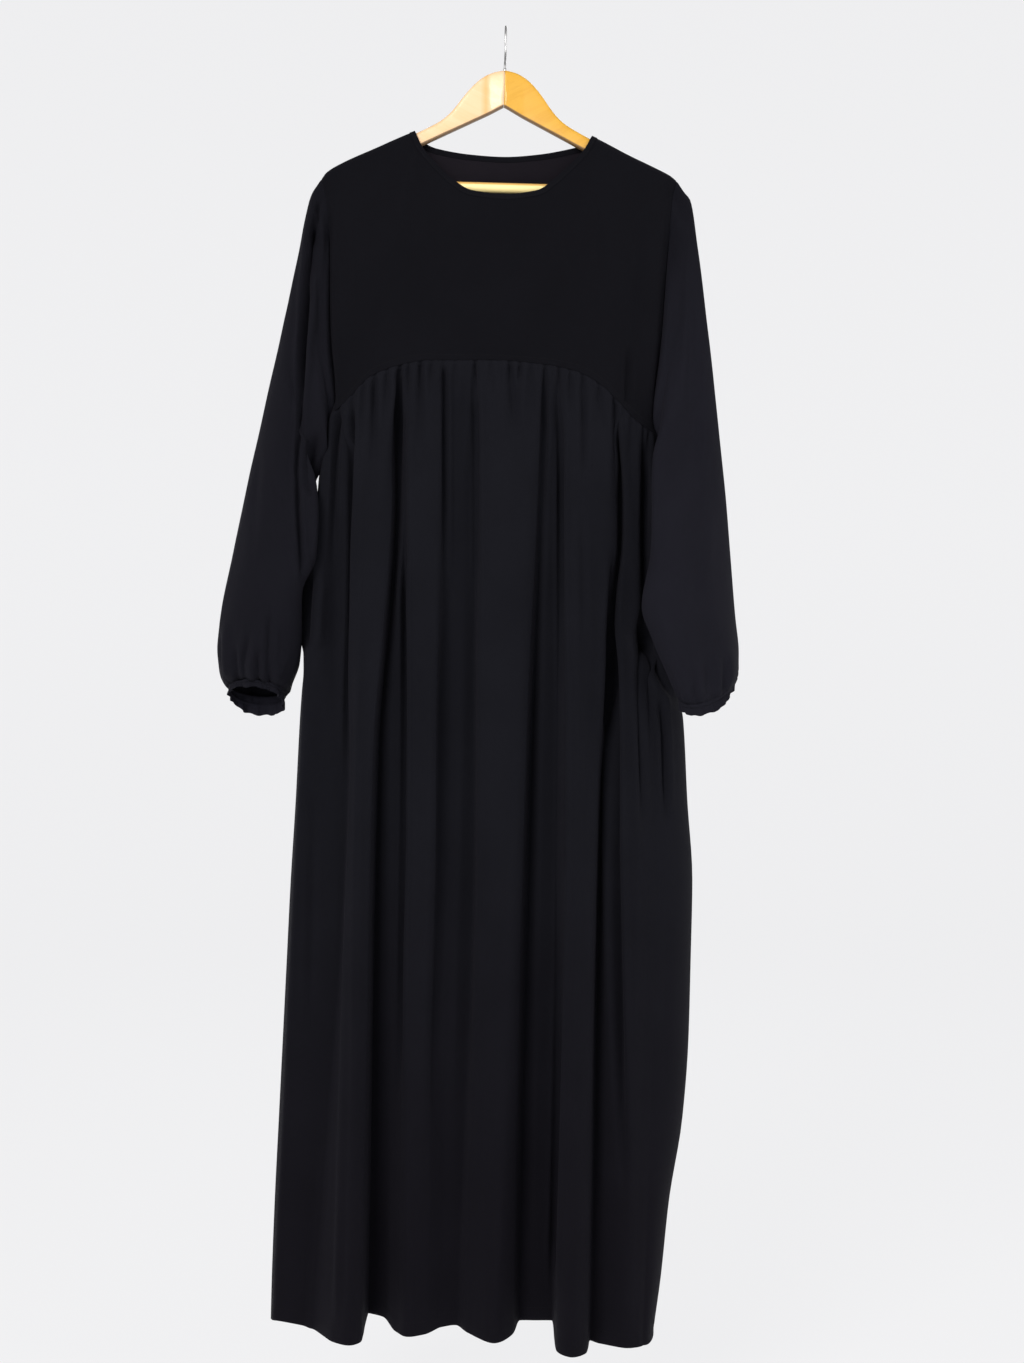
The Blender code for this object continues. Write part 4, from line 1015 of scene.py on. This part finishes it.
# Uneven waves round a ring.
def gatherWave(angle, waves, seed):
    radius = waves * sleeveLook["waveRadius"]
    values = [noise.noise((math.cos(a) * radius, math.sin(a) * radius, seed)) for a in angle]
    return (np.array(values) * sleeveLook["waveHeight"])[None, :]


def around(columns):
    return 2 * math.pi * np.arange(columns) / columns


# Rings of points from just inside the armhole down to the cuff.
def sleeveSurface(side, yokes):
    look, own, way = sleeveLook, sleeveLook[side], wayOf[side]
    end = 0 if side == "left" else -1
    edges = [yokes[panel][::-1, end] for panel in ("front", "back")]
    low, high = edges[0][0, 2] + look["armholeEnds"][0], edges[0][-1, 2] - look["armholeEnds"][1]
    angle = around(look["columns"])
    z = mix(low, high, (1 + np.cos(angle)) / 2)
    onFront = np.sin(angle) >= 0
    edge = np.where(onFront[:, None], *(readAt(z, rows[:, 2], rows) for rows in edges))
    down = (high - z) / (high - low)
    groove = smoothStep((high - z - look["grooveFrom"]) / look["grooveSetIn"]) * onFront
    setIn, setOut, changing = look["rollSetIn"]
    roll = smoothStep((high - z - own["rollFrom"]) / setIn) * smoothStep((z - low) / setOut) * onFront
    rollOver = mix(own["roll"][0], own["roll"][1], smoothStep(down * changing))
    share = mix(*look["reachShare"], down)
    rows = []
    for reach, inset, ditch, over in look["armhole"]:
        line = edge.copy()
        line[:, 0] += way * (look["armholeGap"] + reach * share - over * roll * rollOver)
        inwards = np.minimum(inset + ditch * groove, np.abs(line[:, 1]) * look["flattest"])
        line[:, 1] -= np.sign(line[:, 1]) * inwards
        line[:, 1] -= over * roll * own["roll"][2]
        line[:, 2] -= reach * look["reachDown"] * (reach > 0)
        rows.append(line)
    rows += [ringPoints(ring, angle) for ring in own["rings"]]
    cuffTop = ringPoints(own["cuff"][0], angle)
    cuffTop[:, 2] += look["cuffGap"]
    rows = np.array([*rows, cuffTop])
    _, places = gridLengths(rows)
    length = places[-1]
    evenly = np.linspace(0, length, int(length / look["rowSpacing"]))
    wanted = np.unique(np.concatenate([places[:4], evenly, length - np.array(look["cuffRows"])]))
    grid = smoothCurve(places, rows)(wanted)
    outward = outwardOf(grid, grid - grid.mean(axis=1, keepdims=True), closed=True)
    fromCuff, fromArm, seed = (wanted[-1] - wanted)[:, None], wanted[:, None], own["seed"]
    waves, more, least, swing = look["uneven"]
    uneven = least + swing * gatherWave(angle, waves, seed + more)
    reach, power, over, start = look["gatherFade"]
    atCuff = np.exp(-(fromCuff / reach) ** power) * smoothStep(fromCuff / over + start)
    push = look["gatherHeight"] * gatherWave(angle, look["gatherWaves"], seed) * uneven * atCuff
    height, count, reach, power, over = look["longWaves"]
    fade = np.exp(-(fromCuff / reach) ** power) * smoothStep(fromCuff / over)
    push = push + height * gatherWave(angle, count, seed + 5) * fade
    sharpness, begin, over = look["shown"]
    shown = smoothStep(-outward[..., 1] * sharpness) * smoothStep((fromArm - begin) / over)
    push = push - creaseField(grid, own["creases"]) * shown
    turn = around(look["columns"])[None, :] + angle[1]
    height, scale, first, second = look["soft"]
    first, second = np.cos(turn) * scale + fromArm * first, np.sin(turn) * scale + fromArm * second
    soft = height * noiseOver(first, second, seed)
    height, inX, inY, inZ = look["fine"]
    fine = height * noiseOver(grid[..., 0] * inX + grid[..., 1] * inY, grid[..., 2] * inZ, seed + 9)
    begin, atArm, atEnd = look["calm"]
    calm = smoothStep((fromArm - begin) / atArm) * smoothStep(fromCuff / atEnd)
    push = push + (soft + fine) * calm
    return grid + outward * push[..., None]


cuffLook = {
    "thickness": 0.0014,
    "columns": 336,
    "rows": 26,
    "tuckedRows": (-0.3, -0.1),
    "tuckUp": 0.4,
    "tuckIn": 0.045,
    "ruffleFrom": 0.55,
    "ruffleUpTo": 0.5,
    "curl": 0.0040,
    "curlFrom": 0.15,
    "curls": ((15, 3, 0.7), (34, 4, 0.4)),  # waves, seed, share
    "band": (0.0009, 0.38, 0.10),  # depth, height, width of the line over the elastic
    "frill": (0.0022, 11, 6),  # height, waves, seed
    "frillFrom": 0.5,
}


# The ruffled elastic casing, from just inside the sleeve's end to its free edge.
def cuffSurface(side):
    look, own = cuffLook, sleeveLook[side]
    angle, seed = around(look["columns"]), own["seed"]
    rings = [ringPoints(ring, angle) for ring in own["cuff"]]
    tucked = rings[0] + (rings[0] - rings[1]) * look["tuckUp"]
    tucked += (rings[0].mean(axis=0) - rings[0]) * look["tuckIn"]
    height = np.concatenate([look["tuckedRows"], np.linspace(0, 1, look["rows"])])
    places = [look["tuckedRows"][0], 0.0, 0.5, 1.0]
    grid = smoothCurve(places, np.array([tucked, *rings]))(height)
    outward = outwardOf(grid, grid - grid.mean(axis=1, keepdims=True), closed=True)
    wave = gatherWave(angle, sleeveLook["gatherWaves"], seed)
    curl = sum(gatherWave(angle, waves, seed + more) * share for waves, more, share in look["curls"])
    h = height[:, None]
    depth, bandAt, width = look["band"]
    curled = smoothStep((h - look["curlFrom"]) / (1 - look["curlFrom"]))
    push = sleeveLook["gatherHeight"] * wave * look["ruffleFrom"] * (1 - smoothStep(h / look["ruffleUpTo"]))
    push = push + look["curl"] * curl * curled - depth * bell(h - bandAt, width)
    grid = grid + outward * push[..., None]
    rise, waves, more = look["frill"]
    raised = smoothStep((h - look["frillFrom"]) / (1 - look["frillFrom"]))
    grid[..., 2] += rise * gatherWave(angle, waves, seed + more) * raised
    return grid


bindingLook = {"rows": 14, "columns": 96, "thickness": 0.0021, "overlap": 0.0006}


# A folded band round the neckline, from its free edge outwards.
def bindingSurface():
    count = bindingLook["columns"]
    share = (1 - np.cos(math.pi * np.arange(count + 1) / count)) / 2
    rows = []
    for distance in np.linspace(0.0, bodyForm["bindingWidth"] + bindingLook["overlap"], bindingLook["rows"]):
        line = []
        for panel, places in (("front", share[:-1]), ("back", share[:0:-1])):
            x, z = neckEdge(panel, places, distance)
            line.append(np.stack([x, facing[panel] * bodyDepth(x, z), z], -1))
        rows.append(np.concatenate(line))
    return np.array(rows)


print("forms: working out the cloth's surfaces")
yokes = {panel: yokeSurface(panel) for panel in facing}
skirts = {panel: skirtSurface(panel, yokes[panel][-1]) for panel in facing}
sleeves = {side: sleeveSurface(side, yokes) for side in wayOf}
cuffs = {side: cuffSurface(side) for side in wayOf}
binding = bindingSurface()

print("cloth: making the shells")
skirtCrepe = makeCrepe("black crepe, skirt")
for panel in facing:
    addCloth("yoke-" + panel, yokes[panel], makeCrepe(f"black crepe, {panel} yoke"))
    addCloth("skirt-" + panel, skirts[panel], skirtCrepe)
for side in wayOf:
    addCloth("sleeve-" + side, sleeves[side], makeCrepe(f"black crepe, {side} sleeve"), True)
    addCloth("cuff-" + side, cuffs[side], makeCrepe(f"black crepe, {side} cuff"), True, cuffLook["thickness"])
addCloth("neck-binding", binding, makeCrepe("folded black crepe"), True, bindingLook["thickness"])

stitchLook = {
    "length": 0.0030, "width": 0.00050, "height": 0.00018, "pitch": 0.0042,
    "lift": 0.00042, "cuffLift": 0.00072, "neckLift": 0.0001,
    "aboveHem": 0.0154, "aboveSeam": 0.0085, "cuffRow": 11.5, "neckRow": 9.5,
    "hemEnds": 3, "seamEnds": 4,  # columns left free at both sides
}


# The points and faces of one stitch, lying along X.
def makeStitch():
    bpy.ops.object.select_all(action="DESELECT")
    bpy.ops.mesh.primitive_uv_sphere_add(segments=6, ring_count=4, radius=1.0)
    stitch = bpy.context.object
    bpy.ops.object.mode_set(mode="EDIT")
    bpy.ops.mesh.select_all(action="SELECT")
    size = (stitchLook["length"] / 2, stitchLook["width"] / 2, stitchLook["height"])
    bpy.ops.transform.resize(value=size, center_override=(0.0, 0.0, 0.0))
    bpy.ops.object.mode_set(mode="OBJECT")
    points = np.array([vertex.co[:] for vertex in stitch.data.vertices])
    faces = sorted(tuple(face.vertices) for face in stitch.data.polygons)
    bpy.data.objects.remove(stitch)
    return points, faces


# A row of stitches on a line of points, with the cloth's outward direction at each.
def sewLine(name, line, outward, closed=False):
    if closed:
        line, outward = np.concatenate([line, line[:1]]), np.concatenate([outward, outward[:1]])
    length = runningTotal(np.linalg.norm(np.diff(line, axis=0), axis=1))
    count = int(length[-1] / stitchLook["pitch"])
    middle = (np.arange(count) + 0.5) * length[-1] / count
    half = stitchLook["length"] / 2
    start, end = (readAt(np.clip(middle + step, 0, length[-1]), length, line) for step in (-half, half))
    along = unit(end - start)
    up = readAt(middle, length, outward)
    up = unit(up - (up * along).sum(-1, keepdims=True) * along)
    points, faces = stitchShape
    placed = (start + end)[:, None] / 2
    for axis, way in enumerate((along, np.cross(up, along), up)):
        placed = placed + points[None, :, axis:axis + 1] * way[:, None]
    stitched = [tuple(v + k * len(points) for v in face) for k in range(count) for face in faces]
    row = newObject(name, placed.reshape(-1, 3).tolist(), stitched, threadFinish)
    keepPiece(row, replacing=False)


# Where each column of a grid reaches zero in a measure, lifted off the cloth, and the outward
# directions there.
def lineOnGrid(grid, measure, closed, lift, away):
    outward = outwardOf(grid, away, closed)
    measure = np.broadcast_to(measure, grid.shape[:2])
    both = np.concatenate([grid, outward], -1)
    found = []
    for column in range(grid.shape[1]):
        order = np.argsort(measure[:, column])
        found.append(readAt(0.0, measure[order, column], both[order, column]))
    line, up = np.split(np.array(found), 2, axis=1)
    up = unit(up)
    return line + up * lift, up


print("sewing: hem, neck, yoke and cuff stitches")
stitchShape = makeStitch()
threadFinish = makeFine("black thread")
for panel in facing:
    height = skirts[panel][..., 2]
    _, down = gridLengths(yokes[panel])
    for name, grid, measure, ends in (
        ("hem", skirts[panel], height - height[-1:] - stitchLook["aboveHem"], stitchLook["hemEnds"]),
        ("yoke", yokes[panel], (down[-1] - down)[:, None] - stitchLook["aboveSeam"], stitchLook["seamEnds"]),
    ):
        line, up = lineOnGrid(grid, measure, False, stitchLook["lift"], np.array([0.0, facing[panel], 0.0]))
        sewLine(f"{name}-stitches-{panel}", line[ends:-ends], up[ends:-ends])
for side in wayOf:
    grid = cuffs[side]
    rowAt = np.arange(len(grid))[:, None] - stitchLook["cuffRow"]
    line, up = lineOnGrid(grid, rowAt, True, stitchLook["cuffLift"], grid - grid.mean(axis=1, keepdims=True))
    sewLine("cuff-stitches-" + side, line, up, True)
rowAt = np.arange(len(binding))[:, None] - stitchLook["neckRow"]
line, up = lineOnGrid(binding, rowAt, True, bindingLook["thickness"] / 2 + stitchLook["neckLift"],
                      np.sign(binding) * (0.0, 1.0, 0.0))
sewLine("neck-stitches", line, up, True)

woodShape = {
    "bendWidth": 0.022, "bendDepth": 0.0042, "bendFoot": 0.25,
    "sharpOver": math.radians(60), "sharpness": 0.85,
    "mergeWithin": 0.00002, "quadAngle": math.radians(50), "levels": 2,
}


# Creases the edges where two faces meet at a steep angle.
def markSharpEnds(piece):
    shape = bmesh.new()
    shape.from_mesh(piece.data)
    crease = shape.edges.layers.float.get("crease_edge") or shape.edges.layers.float.new("crease_edge")
    for edge in shape.edges:
        if len(edge.link_faces) == 2 and edge.calc_face_angle() > woodShape["sharpOver"]:
            edge[crease] = woodShape["sharpness"]
    shape.to_mesh(piece.data)
    shape.free()


# A smoother copy of a solid: its loose triangles merged, turned to quads and subdivided. The arms
# keep their sharp ends and bend forwards beside the hook.
def pieceFromNode(pieceName, material, isArm=False):
    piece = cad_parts[pieceName.replace("-", "_")].copy()
    piece.data = piece.data.copy()
    piece.name = pieceName
    piece.parent = None
    for key in list(piece.keys()):
        del piece[key]
    link(piece)
    selectOnly(piece)
    bpy.ops.object.mode_set(mode="EDIT")
    bpy.ops.mesh.select_all(action="SELECT")
    bpy.ops.mesh.remove_doubles(threshold=woodShape["mergeWithin"])
    angle = woodShape["quadAngle"]
    bpy.ops.mesh.tris_convert_to_quads(face_threshold=angle, shape_threshold=angle)
    bpy.ops.object.mode_set(mode="OBJECT")
    if isArm:
        markSharpEnds(piece)
    rounder = piece.modifiers.new("rounder", "SUBSURF")
    rounder.levels = rounder.render_levels = woodShape["levels"]
    applyModifiers(piece)
    if isArm:
        foot = woodShape["bendFoot"]
        for vertex in piece.data.vertices:
            near = max(1 - abs(vertex.co.x) / woodShape["bendWidth"], 0.0)
            bend = near if near > foot else near * near / (2 * foot) + foot / 2
            vertex.co.y -= woodShape["bendDepth"] * bend
    piece.data.shade_smooth()
    piece.data.materials.clear()
    piece.data.materials.append(material)
    keepPiece(piece)


barLook = {"radius": 0.0063, "sides": 40, "bevel": 0.0008, "lean": math.radians(1.6)}


def makeBar():
    low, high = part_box("hanger_bar")
    radius, lean = barLook["radius"], barLook["lean"]
    bpy.ops.mesh.primitive_cylinder_add(
        vertices=barLook["sides"], radius=radius, location=(low + high) / 2,
        depth=(high.x - low.x) / math.cos(lean) - 2 * radius * math.tan(lean),
        rotation=(0.0, math.pi / 2 + lean, 0.0))
    bar = bpy.context.active_object
    bar.name = "hanger-bar"
    bpy.ops.object.transform_apply(location=True, rotation=True, scale=True)
    edge = bar.modifiers.new("edge", "BEVEL")
    edge.width = barLook["bevel"]
    edge.segments = 2
    applyModifiers(bar)
    bar.data.shade_smooth()
    bar.data.materials.append(makeWood("bar", 0.0))
    keepPiece(bar)


print("hanger: smoothing the wood and the hook")
for side in wayOf:
    pieceFromNode("hanger-arm-" + side, makeWood(side, wayOf[side] * woodLook["slope"]), True)
makeBar()
pieceFromNode("hanger-hook", makeFine("bright steel"))

print("sheets: working out the area of each cloth piece")
for panel in facing:
    area = clothArea(yokes[panel])
    area = clothArea(skirts[panel])
for side in wayOf:
    area = clothArea(sleeves[side], True)

print("studio: floor, lights and camera")
studio = {
    "floorZ": -1.72,
    "floorRadius": 4.6,
    "bendRadius": 1.6,
    "bendSteps": 12,
    "wallTop": 5.0,
    "turns": 72,
    "paper": {
        "Base Color": (0.10, 0.10, 0.10), "Roughness": 0.95, "Specular IOR Level": 0.0,
        "Emission Color": (0.985, 0.985, 1.0), "Emission Strength": 0.80,
    },
    "lights": {  # place, target, size, power, colour
        "key light": ((-1.2, -2.8, 0.6), (0.0, 0.0, -0.6), (1.2, 1.6), 85.0, (1.0, 0.985, 0.965)),
        "fill light": ((2.2, -2.4, 0.3), (0.0, 0.0, -0.5), (1.4, 1.8), 18.0, (1.0, 1.0, 1.0)),
        "side light": ((2.8, -0.9, -0.3), (0.0, 0.0, -0.6), (0.8, 1.6), 15.0, (1.0, 1.0, 1.0)),
        "low light": ((-0.2, -2.6, -1.45), (0.0, 0.0, -0.8), (1.4, 0.4), 5.0, (1.0, 1.0, 1.0)),
        "back light": ((0.3, 2.6, 1.2), (0.0, 0.0, -0.7), (1.8, 1.4), 20.0, (1.0, 1.0, 1.0)),
    },
    "air": 0.25,
}


# A round pale floor that curves up into a wall all round.
def makeStudio():
    floorRadius, bend, turns = studio["floorRadius"], studio["bendRadius"], studio["turns"]
    profile = [(floorRadius, 0.0)]
    for step in range(1, studio["bendSteps"] + 1):
        turn = math.pi / 2 * step / studio["bendSteps"]
        profile.append((floorRadius + bend * math.sin(turn), bend * (1 - math.cos(turn))))
    profile.append((profile[-1][0], studio["wallTop"]))
    points = [(0.0, 0.0, studio["floorZ"])]
    for radius, height in profile:
        z = studio["floorZ"] + height
        points += [(radius * math.cos(angle), radius * math.sin(angle), z) for angle in around(turns)]
    steps = [(step, (step + 1) % turns) for step in range(turns)]
    faces = [(0, 1 + step, 1 + following) for step, following in steps]
    for low in range(1, 1 + (len(profile) - 1) * turns, turns):
        high = low + turns
        faces += [(low + step, high + step, high + following, low + following) for step, following in steps]
    newObject("studio-floor", points, faces, Finish("pale paper", studio["paper"]).material)


makeStudio()
for name, (place, target, size, power, colour) in studio["lights"].items():
    data = bpy.data.lights.new(name, "AREA")
    data.shape = "RECTANGLE"
    data.size, data.size_y = size
    data.energy = power
    data.color = colour
    light = bpy.data.objects.new(name, data)
    light.location = place
    light.rotation_euler = (Vector(target) - Vector(place)).to_track_quat("-Z", "Y").to_euler()
    link(light)
world = bpy.data.worlds.new("studio air")
bpy.context.scene.world = world
world.use_nodes = True
world.node_tree.nodes["Background"].inputs["Color"].default_value = (1.0, 1.0, 1.0, 1.0)
world.node_tree.nodes["Background"].inputs["Strength"].default_value = studio["air"]
bpy.context.scene.view_settings.view_transform = "Standard"

cameraLook = {"place": (0.0072, -2.2, -0.7834), "frameHeight": 1.6356, "distance": 2.2, "sensor": 36.0}
cameraData = bpy.data.cameras.new("camera")
cameraData.sensor_width = cameraLook["sensor"]
cameraData.lens = cameraLook["sensor"] * cameraLook["distance"] / cameraLook["frameHeight"]
camera = bpy.data.objects.new("camera", cameraData)
camera.location = cameraLook["place"]
camera.rotation_euler = (math.pi / 2, 0.0, 0.0)
link(camera)
bpy.context.scene.camera = camera
